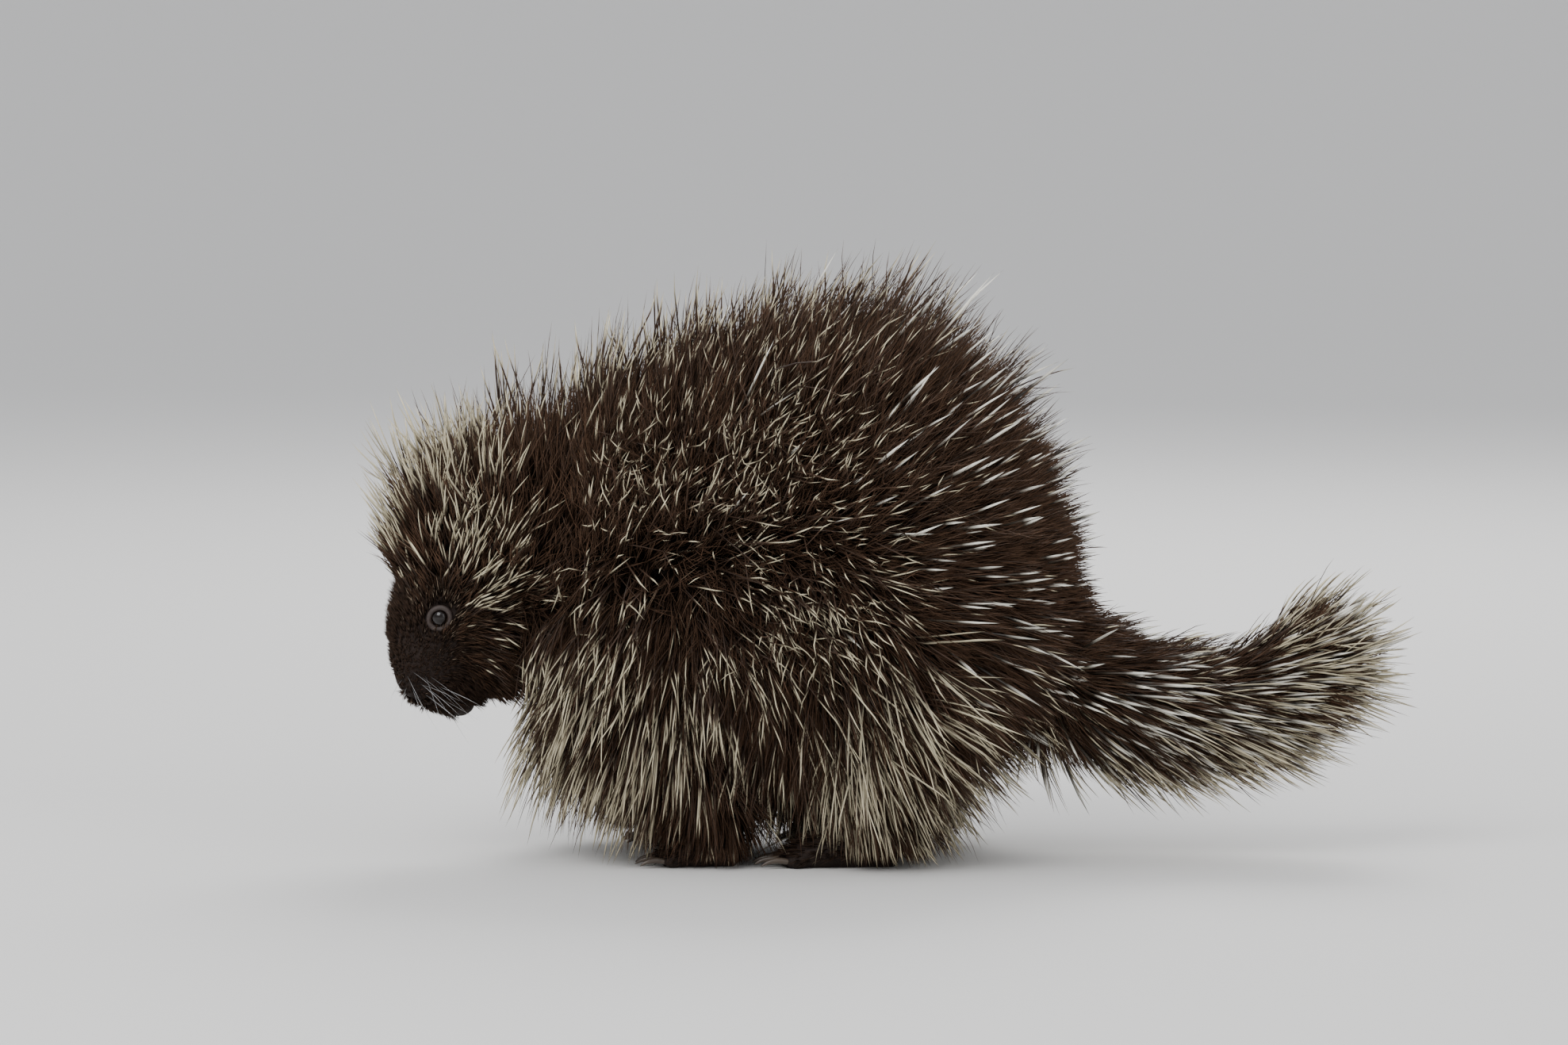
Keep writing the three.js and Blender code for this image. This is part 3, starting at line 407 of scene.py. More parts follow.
# Each tube's own strip of the unwrap: low corner and size, in UV.
trunk.strip = (0.02, 0.02), (0.60, 0.50)
neck.strip = (0.64, 0.02), (0.16, 0.30)
skull.strip = (0.02, 0.55), (0.36, 0.42)
tail.strip = (0.42, 0.55), (0.30, 0.22)
for number, tube in enumerate(fore_legs + hind_legs):
    tube.strip = (0.83, 0.02 + 0.13 * number), (0.15, 0.11)
for number, tube in enumerate(feet):
    tube.strip = (0.42 + 0.14 * number, 0.82), (0.12, 0.14)


def comb_at(points):
    """What the combing field says at each place: the lie, then the other columns by name."""
    apart = (points[:, None, 0] - FIELD_AT[None, :, 0]) ** 2
    apart += (points[:, None, 2] - FIELD_AT[None, :, 1]) ** 2
    weight = 1 / (apart + FIELD_BLUR**2) ** 2
    weight /= weight.sum(axis=1, keepdims=True)
    mixed = weight @ FIELD
    lie = unit(np.stack([mixed[:, 0], np.zeros(len(mixed)), mixed[:, 1]], axis=1))
    columns = ("length", "lean", "pale", "start", "mess", "quills")
    return {"lie": lie, **{name: mixed[:, 2 + i] for i, name in enumerate(columns)}}


# Making and naming pieces


def mesh_from(bm, name):
    mesh = bpy.data.meshes.new(name)
    bm.to_mesh(mesh)
    bm.free()
    mesh.polygons.foreach_set("use_smooth", np.ones(len(mesh.polygons), dtype=bool))
    return mesh


def placed(name, data):
    made = bpy.data.objects.new(name, data)
    bpy.context.scene.collection.objects.link(made)
    return made


def add_piece(name, mesh, look, replaced=()):
    mesh.materials.append(look)
    piece = placed(name, mesh)
    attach(piece, "root")
    if replaced:
        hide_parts(*replaced)


def add_tube(bm, flesh, segments, rings):
    """Adds a sphere whose rings are laid along the tube."""
    made = bmesh.ops.create_uvsphere(bm, u_segments=segments, v_segments=rings, radius=1.0)
    verts = made["verts"]
    ball = np.array([vert.co for vert in verts])
    along = np.arccos(np.clip(ball[:, 2], -1, 1)) / math.pi
    angle = np.arctan2(ball[:, 1], ball[:, 0])
    for vert, place in zip(verts, in_frame(flesh.point(along, angle))):
        vert.co = place


def add_ball(bm, centre, reach, axis, segments=24, rings=16):
    """Adds an ellipsoid whose own Z runs along "axis"."""
    turn = Vector((0, 0, 1)).rotation_difference(Vector(axis)).to_matrix().to_4x4()
    stretch = Matrix.Diagonal((*[size * MM for size in reach], 1.0))
    place = Matrix.Translation(in_frame(centre))
    return bmesh.ops.create_uvsphere(
        bm, u_segments=segments, v_segments=rings, radius=1.0, matrix=place @ turn @ stretch
    )["verts"]


def spin_round(bm, geom, steps, merged):
    """Turns a profile about Z and merges what meets."""
    bmesh.ops.spin(
        bm, geom=geom, cent=(0, 0, 0), axis=(0, 0, 1), angle=2 * math.pi, steps=steps, use_merge=True
    )
    bmesh.ops.remove_doubles(bm, verts=bm.verts, dist=merged)


def toe_places(leg, foot):
    """The root and direction of each toe of a foot."""
    for number in range(foot["toes"]):
        turn = number / (foot["toes"] - 1) * 2 - 1
        fan = turn * TOE_FAN
        ahead = np.array([-math.cos(fan), math.sin(fan), 0.0])
        base = np.array(
            [
                leg["heel"] - foot["length"] * (0.9 - 0.07 * turn * turn),
                leg["side"] * leg["offset"] + turn * (foot["half_width"] - 3.5),
                foot["toe"] - 0.8,
            ]
        )
        yield base, ahead


# Materials

PALE_RISE = 0.12  # the share of its length in which a hair turns pale
SHADES = (0.65, 1.3)  # the darkest and the brightest strand, as shares of its colour


def fill(tree, node, inputs):
    """Gives each input of a node its value, or links it to another node's output."""
    for name, value in inputs.items():
        if isinstance(value, bpy.types.NodeSocket):
            tree.links.new(value, node.inputs[name])
        else:
            node.inputs[name].default_value = value


def add_node(tree, kind, inputs, **settings):
    node = tree.nodes.new(kind)
    for name, value in settings.items():
        setattr(node, name, value)
    fill(tree, node, inputs)
    return node


def shaded(name, roughness, specular):
    """A new material, its node tree and its shader."""
    made = bpy.data.materials.new(name)
    made.use_nodes = True
    tree = made.node_tree
    shader = tree.nodes["Principled BSDF"]
    fill(tree, shader, {"Roughness": roughness, "Specular IOR Level": specular})
    return made, tree, shader


def material(name, colours, roughness, spots, bumps=(), specular=0.5):
    """A material with mottled colour and bumps that follow Object coordinates.

    Noise of the size "spots", in metres, mixes the two colours, and each of "bumps" is the size,
    strength and depth of one grain.
    """
    made, tree, shader = shaded(name, roughness, specular)
    where = add_node(tree, "ShaderNodeTexCoord", {}).outputs["Object"]
    noise = add_node(tree, "ShaderNodeTexNoise", {"Scale": 1 / spots, "Detail": 6, "Vector": where})
    first, second = [(*colour, 1) for colour in colours]
    inputs = {"Factor": noise.outputs["Fac"], "A": first, "B": second}
    mix = add_node(tree, "ShaderNodeMix", inputs, data_type="RGBA")
    normal = {}
    for size, strength, depth in bumps:
        grain = add_node(tree, "ShaderNodeTexNoise", {"Scale": 1 / size, "Detail": 4, "Vector": where})
        inputs = {"Strength": strength, "Distance": depth, "Height": grain.outputs["Fac"]}
        normal = {"Normal": add_node(tree, "ShaderNodeBump", inputs | normal).outputs["Normal"]}
    fill(tree, shader, {"Base Color": mix.outputs["Result"]} | normal)
    return made


def hair_material(name, dark, pale, roughness, specular=0.25):
    """A hair that is dark, or pale from the "start" attribute on where "pale" says so.

    "dark" and "pale" list the share of the length and the colour there, from root to tip.
    """
    made, tree, shader = shaded(name, roughness, specular)
    along, start, share, shade = [
        add_node(tree, "ShaderNodeAttribute", {}, attribute_name=label).outputs["Fac"]
        for label in ("along", "start", "pale", "shade")
    ]

    def ramp(stops):
        node = add_node(tree, "ShaderNodeValToRGB", {"Fac": along})
        elements = node.color_ramp.elements
        while len(elements) < len(stops):
            elements.new(0.5)
        for element, (place, colour) in zip(elements, stops):
            element.position = place
            element.color = (*colour, 1)
        return node.outputs["Color"]

    full = add_node(tree, "ShaderNodeMath", {0: start, 1: PALE_RISE}).outputs["Value"]
    inputs = {"Value": along, "From Min": start, "From Max": full}
    band = add_node(tree, "ShaderNodeMapRange", inputs).outputs["Result"]
    amount = add_node(tree, "ShaderNodeMath", {0: band, 1: share}, operation="MULTIPLY").outputs["Value"]
    inputs = {"Factor": amount, "A": ramp(dark), "B": ramp(pale)}
    mix = add_node(tree, "ShaderNodeMix", inputs, data_type="RGBA").outputs["Result"]
    darkest, brightest = SHADES
    inputs = {"Value": shade, "To Min": darkest, "To Max": brightest}
    value = add_node(tree, "ShaderNodeMapRange", inputs).outputs["Result"]
    tinted = add_node(tree, "ShaderNodeHueSaturation", {"Color": mix, "Value": value}).outputs["Color"]
    fill(tree, shader, {"Base Color": tinted})
    return made


# Coat

STRAY = 0.22  # how far the lie of long hair strays, as a share of its length
ROOT_SINK = 1.2  # how deep a strand starts under the skin
LEAST_LEAN = 0.05
LEAST_MESS, TUFT_MESS, HAIR_MESS = 0.04, 0.5, 0.12
# The lowest and the highest share of its usual size that each of these gets.
TUFT_LENGTHS = 0.8, 1.12
HAIR_LENGTHS = 0.75, 1.1
HAIR_WIDTHS = 0.75, 1.25
TRIMMED_LENGTHS = 0.86, 1
START_SHIFT = 0.08  # how far the start of the pale part strays, as a share of the length
PALE_BY_HEIGHT = (60, 190), (0.7, 1.0)  # heights, and how much of its paleness hair keeps there

# How the tufts of a coat are shaped. "hairs" is how many a tuft has. Widths and the spread are in
# millimetres. "reach", "lean", "mess" and "paling" are shares of what the combing field says, "gather"
# is the share of the spread that is gone at the tip, "levels" is where along a hair its rings lie,
# "profile" is its width there, and the others are shares of its length.
TUFT = dict(
    reach=1.0, lean=1.0, mess=1.0, paling=1.0, hairs=1, levels=(0, 0.5, 1), profile=(1, 0.8, 0),
    spread=0.0, split=0.10, gather=0.0, bow=0.05, droop=0.05, kink=0.0, width=1.0, dark_width=1.0,
)
WOOL = TUFT | dict(
    reach=0.72, lean=1.1, paling=0.05, hairs=5, profile=(1, 0.85, 0),
    spread=3.2, gather=0.2, kink=0.1, width=0.9, dark_width=1.1,
)
GUARD_HAIR = TUFT | dict(
    hairs=3, levels=(0, 0.45, 0.65, 0.83, 1), profile=(0.7, 1, 1, 0.8, 0),
    spread=4.0, split=0.06, gather=0.15, bow=0.07, kink=0.16, width=1.25, dark_width=0.6,
)
QUILL = TUFT | dict(
    reach=1.06, mess=0.3, levels=(0, 0.4, 0.8, 1), profile=(0.6, 1, 0.85, 0),
    spread=1.0, split=0.05, bow=0.03, droop=0.0, kink=0.03, width=2.3, dark_width=2.3,
)
SHORT_FUR = TUFT | dict(
    mess=0.5, paling=0.4, hairs=4,
    spread=1.3, gather=0.3, bow=0.06, droop=0.02, kink=0.05, width=0.7, dark_width=0.6,
)
WHISKER = TUFT | dict(
    mess=0.4, levels=(0, 0.3, 0.6, 1), profile=(1, 0.8, 0.55, 0),
    split=0.12, bow=0.04, droop=0.18, width=0.25, dark_width=0.35,
)


class Roots:
    """Places on the skin where tufts of one tube grow, and what the combing field says there."""

    def __init__(self, flesh, spread, skin, tolerance=4.5):
        """Puts the places of "spread" on the skin, and drops those that another tube buries.

        A place is buried where the skin is more than "tolerance" millimetres away.
        """
        along, angle = spread
        places = in_frame(flesh.point(along, angle))
        near = [skin.find_nearest(Vector(place), tolerance * MM)[:2] for place in places]
        found = np.array([spot is not None for spot, _ in near])
        hits = np.array([(spot[:], normal[:]) for spot, normal in near if spot is not None])
        self.at = (hits[:, 0] - SHIFT) / MM
        self.normals = hits[:, 1]
        (u, v), (width, height) = flesh.strip
        turn = (angle[found] / (2 * math.pi) + 0.5) % 1.0
        self.uv = np.stack([u + along[found] * width, v + turn * height], axis=1)
        self.field = comb_at(self.at)

    def keep(self, wanted):
        self.at, self.normals, self.uv = self.at[wanted], self.normals[wanted], self.uv[wanted]
        self.field = {name: values[wanted] for name, values in self.field.items()}

    def stray(self, draw):
        """Mixes the lie of neighbouring places into long hair."""
        apart = draw.normal(0, STRAY, self.at.shape) * self.field["length"][:, None]
        self.field["lie"] = comb_at(self.at + apart)["lie"]

    def comb(self, lie, **columns):
        """Takes the same lie and columns everywhere, in place of the combing field."""
        self.field = {"lie": np.tile(unit(np.array(lie)), (len(self.at), 1))}
        self.field |= {name: np.full(len(self.at), float(value)) for name, value in columns.items()}


class Tufts:
    """Tufts of hair that become the meshes of one kind of coat."""

    def __init__(self, draw):
        self.draw = draw
        self.grown = {name: [] for name in ("paths", "radii", "uv", "pale", "start", "shade")}

    def grow(self, roots, look):
        """Grows one tuft of "look" at each root. All sizes are in millimetres."""
        draw, field, normals, count = self.draw, roots.field, roots.normals, len(roots.at)
        length = field["length"] * look["reach"] * draw.uniform(*TUFT_LENGTHS, count)
        mess = field["mess"] * look["mess"]
        inward = np.maximum(0, -(field["lie"] * normals).sum(axis=1))[:, None]
        main = field["lie"] + normals * (inward + field["lean"][:, None] * look["lean"] + LEAST_LEAN)
        main = unit(main + draw.normal(0, 1, (count, 3)) * (LEAST_MESS + TUFT_MESS * mess)[:, None])
        side = unit(np.cross(normals, main))

        shape = (count, look["hairs"])
        level = np.array(look["levels"])[None, None, :, None]
        spread = look["spread"] * np.sqrt(draw.random(shape))
        turn = draw.uniform(0, 2 * math.pi, shape)
        offset = side[:, None] * (np.cos(turn) * spread)[..., None]
        offset += np.cross(normals, side)[:, None] * (np.sin(turn) * spread)[..., None]
        wild = draw.normal(0, 1, (*shape, 3)) * (look["split"] + HAIR_MESS * mess)[:, None, None]
        aim = unit(main[:, None] + wild)[:, :, None]
        reach = (length[:, None] * draw.uniform(*HAIR_LENGTHS, shape))[..., None, None]
        out = normals[:, None, None]
        kink = draw.normal(0, 1, (*shape, 1, 3)) * mess[:, None, None, None] * reach * look["kink"]
        path = roots.at[:, None, None] + offset[:, :, None] * (1 - look["gather"] * level)
        path = path + aim * reach * level - out * ROOT_SINK * (1 - level)
        path += out * look["bow"] * reach * 4 * level * (1 - level) + kink * np.sin(level * 1.5 * math.pi)
        path -= UP * look["droop"] * reach * level**2
        path = self.kept_in_room(path)

        pale = draw.random(shape) < field["pale"][:, None] * look["paling"]
        width = np.where(pale, look["width"], look["dark_width"]) * draw.uniform(*HAIR_WIDTHS, shape)
        radii = width[..., None] / 2 * np.array(look["profile"])
        pale = pale * draw.uniform(0.8, 1, shape) * np.interp(roots.at[:, 2:], *PALE_BY_HEIGHT)
        start = field["start"][:, None] + draw.uniform(-START_SHIFT, START_SHIFT, shape)
        strands = {
            "paths": path.reshape(-1, level.size, 3),
            "radii": radii.reshape(-1, level.size),
            "uv": np.repeat(roots.uv, look["hairs"], axis=0),
            "pale": pale.ravel(),
            "start": start.ravel(),
            "shade": draw.random(shape).ravel(),
        }
        for name, values in strands.items():
            self.grown[name].append(values)

    def kept_in_room(self, path):
        """Shortens the strands that would pass the room of the coat."""
        root = path[..., :1, :]
        run = path - root
        highest = np.maximum(run.max(axis=-2, keepdims=True), 1e-6)
        lowest = np.minimum(run.min(axis=-2, keepdims=True), -1e-6)
        room = np.minimum((COAT_HIGH - root) / highest, (COAT_LOW - root) / lowest)
        room = room.min(axis=-1, keepdims=True)
        trimmed = np.clip(room, 0, 1) * self.draw.uniform(*TRIMMED_LENGTHS, room.shape)
        return root + run * np.where(room < 1, trimmed, 1)

    def gathered(self):
        return {name: np.concatenate(parts) for name, parts in self.grown.items()}


def strand_mesh(name, strands):
    """One mesh of three-sided tapered strands, with what its material reads in attributes."""
    paths, radii = strands["paths"], strands["radii"]
    count, levels = radii.shape
    ahead = unit(np.gradient(paths, axis=1))
    turn = np.random.default_rng(7).normal(0, 1, (count, 1, 3))
    side = unit(np.cross(ahead, turn))
    thick = np.cross(ahead, side)
    corners = []
    for number in range(3):
        angle = 2 * math.pi * number / 3
        spoke = side * math.cos(angle) + thick * math.sin(angle)
        corners.append(paths + spoke * radii[..., None])
    rings = np.stack(corners, axis=2)[:, :-1].reshape(count, -1, 3)
    points = np.concatenate([rings, paths[:, -1:]], axis=1)
    size = points.shape[1]
    share = np.linspace(0, 1, levels)
    along = np.append(np.repeat(share[:-1], 3), 1.0)

    faces = [(2, 1, 0)]
    for low in range(0, 3 * (levels - 2), 3):
        for number in range(3):
            after = (number + 1) % 3
            faces.append((low + number, low + after, low + 3 + after, low + 3 + number))
    low = 3 * (levels - 2)
    faces += [(low + number, low + (number + 1) % 3, size - 1) for number in range(3)]
    corner = np.concatenate(faces)
    starts = np.cumsum([0] + [len(face) for face in faces[:-1]])
    loops = (corner[None] + size * np.arange(count)[:, None]).ravel()

    mesh = bpy.data.meshes.new(name)
    mesh.vertices.add(count * size)
    mesh.vertices.foreach_set("co", in_frame(points).ravel())
    mesh.loops.add(len(loops))
    mesh.loops.foreach_set("vertex_index", loops.astype(np.int32))
    mesh.polygons.add(count * len(faces))
    offsets = (starts[None] + len(corner) * np.arange(count)[:, None]).ravel()
    mesh.polygons.foreach_set("loop_start", offsets.astype(np.int32))
    mesh.update(calc_edges=True)
    mesh.polygons.foreach_set("use_smooth", np.ones(len(mesh.polygons), dtype=bool))
    labels = {"along": np.tile(along, count)}
    for label in ("pale", "start", "shade"):
        labels[label] = np.repeat(strands[label], size)
    for label, values in labels.items():
        layer = mesh.attributes.new(label, "FLOAT", "POINT")
        layer.data.foreach_set("value", values.astype(np.float32))
    patch = np.stack([np.tile([0.0, 0.5, 1.0], levels - 1), np.repeat(share[:-1], 3)], axis=1)
    patch = np.vstack([patch, [0.5, 1.0]]) * TUFT_PATCH
    spots = (strands["uv"][:, None] + patch[None]).reshape(-1, 2)
    layer = mesh.uv_layers.new(name="OFBake")
    layer.uv.foreach_set("vector", spots[loops].astype(np.float32).ravel())
    return mesh


def add_coat(name, tufts, look):
    """Makes the pieces of one kind of coat, each under the limit of triangles."""
    strands = tufts.gathered()
    triangles = 6 * (strands["radii"].shape[1] - 2) + 4
    order = np.argsort(strands["paths"][:, 0, 0], kind="stable")
    pieces = math.ceil(len(order) * triangles / MOST_TRIANGLES)
    for number, part in enumerate(np.array_split(order, pieces)):
        label = f"{name}_{number + 1}"
        mesh = strand_mesh(label, {key: values[part] for key, values in strands.items()})
        add_piece(label, mesh, look)


def skin_tree():
    skin = bpy.data.objects["skin"]
    bm = bmesh.new()
    bm.from_mesh(skin.data)
    tree = BVHTree.FromBMesh(bm)
    bm.free()
    return tree


def near_eye(points, clear):
    apart = [distance(points, head_place(0, 0, side * EYE_SIDE)) for side in (LEFT, RIGHT)]
    return np.minimum(*apart) < clear


def long_coat(tufts, look, count, limbs, shortest, clear, wanted=None):
    """Grows one kind of long coat, with the share "limbs" of its tufts on each leg.

    None grows on the head where hair is under "shortest" or within "clear" of an eye.
    """
    skin = skin_tree()
    # Each tube with its share of the tufts, and where along it they begin and end
    places = [(trunk, 0.60, 0.02, 0.98), (neck, 0.08, 0.02, 0.98), (skull, 0.09, 0.02, 0.75)]
    places.append((tail, 0.12, 0.06, 0.99))
    places += [(leg, limbs, 0.2, 0.8) for leg in fore_legs + hind_legs]
    for flesh, share, start, end in places:
        roots = Roots(flesh, flesh.roots(int(count * share), tufts.draw, start, end, wanted), skin)
        roots.stray(tufts.draw)
        if flesh is skull:
            roots.keep((roots.field["length"] > shortest) & ~near_eye(roots.at, clear))
        tufts.grow(roots, look)


def count_setting(name, description, default):
    return bpy.props.IntProperty(name=name, description=description, default=default)


def size_setting(name, description, default, unit="LENGTH"):
    return bpy.props.FloatProperty(name=name, description=description, default=default, unit=unit)


def colour_setting(name, description, default):
    return bpy.props.FloatVectorProperty(
        name=name, description=description, default=default, subtype="COLOR"
    )


class PorcupineSettings(bpy.types.PropertyGroup):
    """Sizes and colours of the animal and its coat."""

    skin_grain: size_setting("Skin grain", "Size of the skin's facets", 0.0028)
    wool_tufts: count_setting("Wool tufts", "Tufts of underfur over the whole body", 19500)
    guard_tufts: count_setting("Guard hair tufts", "Tufts of long guard hair", 7400)
    quills: count_setting("Quills", "White quills", 980)
    face_tufts: count_setting("Face tufts", "Tufts of short fur on the face", 6500)
    foot_tufts: count_setting("Foot tufts", "Tufts of short fur on each foot", 420)
    wool_colour: colour_setting("Wool", "Tips of the underfur", (0.100, 0.055, 0.033))
    guard_colour: colour_setting("Guard hair", "Its pale outer part", (0.66, 0.59, 0.41))
    quill_colour: colour_setting("Quill", "Colour of the quills", (0.90, 0.87, 0.76))


class StageSettings(bpy.types.PropertyGroup):
    """The floor, the light and the camera."""

    distance: size_setting("Camera distance", "From the camera to the animal", 4.5)
    elevation: size_setting("Camera elevation", "Angle above level", math.radians(5), "ROTATION")
    width: size_setting("View width", "What the view spans at the animal", 1.087)
    floor_colour: colour_setting("Floor", "Colour of the floor", (0.72, 0.71, 0.69))


def dent(depth, *apart):
    """The depth in metres of a round dent, at distances in metres over widths in millimetres."""
    return depth * MM * math.exp(-sum((share / MM) ** 2 for share in apart))


class PORCUPINE_OT_skin(bpy.types.Operator):
    """Lofts the trunk, neck, skull, tail, limbs and feet and fuses them into one skin"""

    bl_idname = "porcupine.skin"
    bl_label = "Skin"

    def execute(self, context):
        settings = context.scene.porcupine
        bm = bmesh.new()
        add_tube(bm, trunk, 72, 48)
        add_tube(bm, neck, 48, 24)
        add_tube(bm, tail, 40, 40)
        add_tube(bm, skull, 72, 56)
        for leg in fore_legs + hind_legs:
            add_tube(bm, leg, 36, 36)
        for (leg, foot), flesh in zip(FEET, feet):
            add_tube(bm, flesh, 36, 30)
            for base, ahead in toe_places(leg, foot):
                toe = foot["toe"]
                add_ball(bm, base, (toe, toe * 0.95, toe * 1.7), ahead, 16, 12)
        for side in (LEFT, RIGHT):
            centre = head_place(LIP_PAD["ahead"], LIP_PAD["above"], side * LIP_PAD["side"])
            add_ball(bm, centre, LIP_PAD["reach"], AHEAD)
        for pad in (CHIN, BRIDGE):
            add_ball(bm, head_place(pad["ahead"], pad["above"]), pad["reach"], AHEAD)
        rough = placed("rough_skin", mesh_from(bm, "rough_skin"))
        remesh = rough.modifiers.new("Fuse", "REMESH")
        remesh.mode = "VOXEL"
        remesh.voxel_size = settings.skin_grain
        graph = context.evaluated_depsgraph_get()
        fused = bpy.data.meshes.new_from_object(rough.evaluated_get(graph))
        bpy.data.objects.remove(rough)
        bm = bmesh.new()
        bm.from_mesh(fused)
        bpy.data.meshes.remove(fused)
        axes = {f"use_axis_{axis}": True for axis in "xyz"}
        for _ in range(SMOOTHINGS):
            bmesh.ops.smooth_vert(bm, verts=bm.verts, factor=0.5, **axes)
        self.carve_face(bm)
        for vert in bm.verts:
            vert.co.z = max(vert.co.z, 0.0)
        colours = (0.009, 0.006, 0.005), (0.028, 0.018, 0.014)
        grains = (0.0012, 0.5, 0.0006), (0.0045, 0.4, 0.0012)
        look = material("skin", colours, 0.7, 0.02, grains, specular=0.15)
        nodes = ["torso", "neck", "head", "tail"]
        for _, end in SIDES:
            nodes += [f"{part}_{end}" for part in ("foreleg", "forefoot", "hindleg", "hindfoot")]
        add_piece("skin", mesh_from(bm, "skin"), look, nodes)
        return {"FINISHED"}

    def carve_face(self, bm):
        """Cuts the muzzle finer, then presses in the eye sockets, the nostrils and the mouth line."""
        muzzle_at = head_spot(MUZZLE["ahead"], MUZZLE["above"])
        for reach in MUZZLE["finer"]:
            near = [edge for edge in bm.edges if (edge.verts[0].co - muzzle_at).length < reach * MM]
            bmesh.ops.subdivide_edges(bm, edges=near, cuts=1, use_grid_fill=True)
        bmesh.ops.triangulate(bm, faces=[face for face in bm.faces if len(face.verts) > 4])
        bm.normal_update()
        eyes = [head_spot(0, 0, side * EYE_SIDE) for side in (LEFT, RIGHT)]
        lips = [head_spot(*at) for at in MOUTH]
        nostrils = [
            head_spot(NOSTRIL["ahead"], NOSTRIL["above"], side * NOSTRIL["side"])
            for side in (LEFT, RIGHT)
        ]
        above = Vector(ABOVE)
        pushes = {}
        for vert in bm.verts:
            if (vert.co - muzzle_at).length > MUZZLE["carved"] * MM:
                continue
            depth = 0.0
            for eye in eyes:
                depth += dent(SOCKET["depth"], (vert.co - eye).length / SOCKET["radius"])
            for hole in nostrils:
                apart = vert.co - hole
                along = apart.dot(above)
                across = (apart - along * above).length
                depth += dent(NOSTRIL["depth"], along / NOSTRIL["tall"], across / NOSTRIL["wide"])
            for start, end in zip(lips, lips[1:]):
                flat = Vector((vert.co.x, lips[0].y, vert.co.z))
                run = (end - start).length
                past = max(0.0, min(run, (flat - start).dot((end - start).normalized())))
                apart = (flat - start.lerp(end, past / run)).length
                if apart < MOUTH_LINE["reach"] * MM:
                    depth = max(depth, dent(MOUTH_LINE["depth"], apart / MOUTH_LINE["width"]))
            if depth > LEAST_DENT:
                pushes[vert] = vert.normal * depth
        for vert, push in pushes.items():
            vert.co -= push


class PORCUPINE_OT_ears(bpy.types.Operator):
    """Makes each ear as a thin upright cup that opens forwards and outwards"""

    bl_idname = "porcupine.ears"
    bl_label = "Ears"

    def execute(self, context):
        colours = (0.016, 0.010, 0.008), (0.045, 0.026, 0.020)
        look = material("ear_skin", colours, 0.7, 0.006, [(0.0008, 0.4, 0.0003)])
        for side, end in SIDES:
            axis = unit(0.9 * ABOVE + 0.55 * side * ACROSS)
            opening = Vector(unit(0.75 * AHEAD + 0.6 * side * ACROSS))
            centre = head_place(EAR["ahead"], EAR["above"], side * EAR["side"])
            reach = [EAR["thick"] / 2, EAR["width"] / 2, EAR["length"] / 2]
            bm = bmesh.new()
            add_ball(bm, centre, reach, axis, 32, 24)
            middle = Vector(in_frame(centre))
            bmesh.ops.bisect_plane(
                bm,
                geom=bm.verts[:] + bm.edges[:] + bm.faces[:],
                plane_co=middle + opening * EAR["cut"] * MM,
                plane_no=opening,
                clear_outer=True,
            )
            bmesh.ops.recalc_face_normals(bm, faces=bm.faces)
            bmesh.ops.solidify(bm, geom=bm.faces[:], thickness=EAR["wall"] * MM)
            bmesh.ops.recalc_face_normals(bm, faces=bm.faces)
            name = f"ear_cup_{end}"
            add_piece(name, mesh_from(bm, name), look, [f"ear_{end}"])
        return {"FINISHED"}


class PORCUPINE_OT_eyes(bpy.types.Operator):
    """Makes the glossy eyes and the bare rims of their lids"""

    bl_idname = "porcupine.eyes"
    bl_label = "Eyes"

    def execute(self, context):
        colours = (0.002, 0.0015, 0.001), (0.008, 0.004, 0.003)
        ball_look = material("eye", colours, 0.04, 0.004, specular=0.4)
        colours = (0.014, 0.009, 0.007), (0.052, 0.033, 0.027)
        lid_look = material("eyelid", colours, 0.6, 0.003, [(0.0006, 0.5, 0.0003)])
        for side, end in SIDES:
            look = unit(0.3 * AHEAD + side * ACROSS)
            centre = head_place(0, 0, side * EYE_SIDE)
            bm = bmesh.new()
            add_ball(bm, centre, (EYE_RADIUS,) * 3, look, 40, 28)
            name = f"eyeball_{end}"
            add_piece(name, mesh_from(bm, name), ball_look, [f"eye_{end}"])

            bm = bmesh.new()
            section = bmesh.ops.create_circle(
                bm, segments=12, radius=LID["thick"] * MM, matrix=Matrix.Rotation(math.pi / 2, 4, "X")
            )["verts"]
            bmesh.ops.translate(bm, verts=section, vec=(LID["radius"] * MM, 0, 0))
            spin_round(bm, bm.edges[:], 40, 1e-6)
            for vert in bm.verts:
                lean = math.atan2(vert.co.y, vert.co.x)
                vert.co.x *= LID["long"] + LID["corner"] * max(0, math.cos(lean)) ** 3
                vert.co.z -= LID["sunk"] * MM * abs(math.cos(lean))
                vert.co.y *= LID["tall"]
            across = unit(AHEAD - look * (AHEAD @ look))
            rise = np.cross(look, across)
            place = Matrix.Translation(in_frame(centre + look * LID["ahead"])) @ Matrix(
                np.vstack([np.column_stack([across, rise, look, np.zeros(3)]), [0, 0, 0, 1]]).tolist()
            )
            bmesh.ops.transform(bm, matrix=place, verts=bm.verts)
            bmesh.ops.recalc_face_normals(bm, faces=bm.faces)
            name = f"eyelids_{end}"
            add_piece(name, mesh_from(bm, name), lid_look)
        return {"FINISHED"}


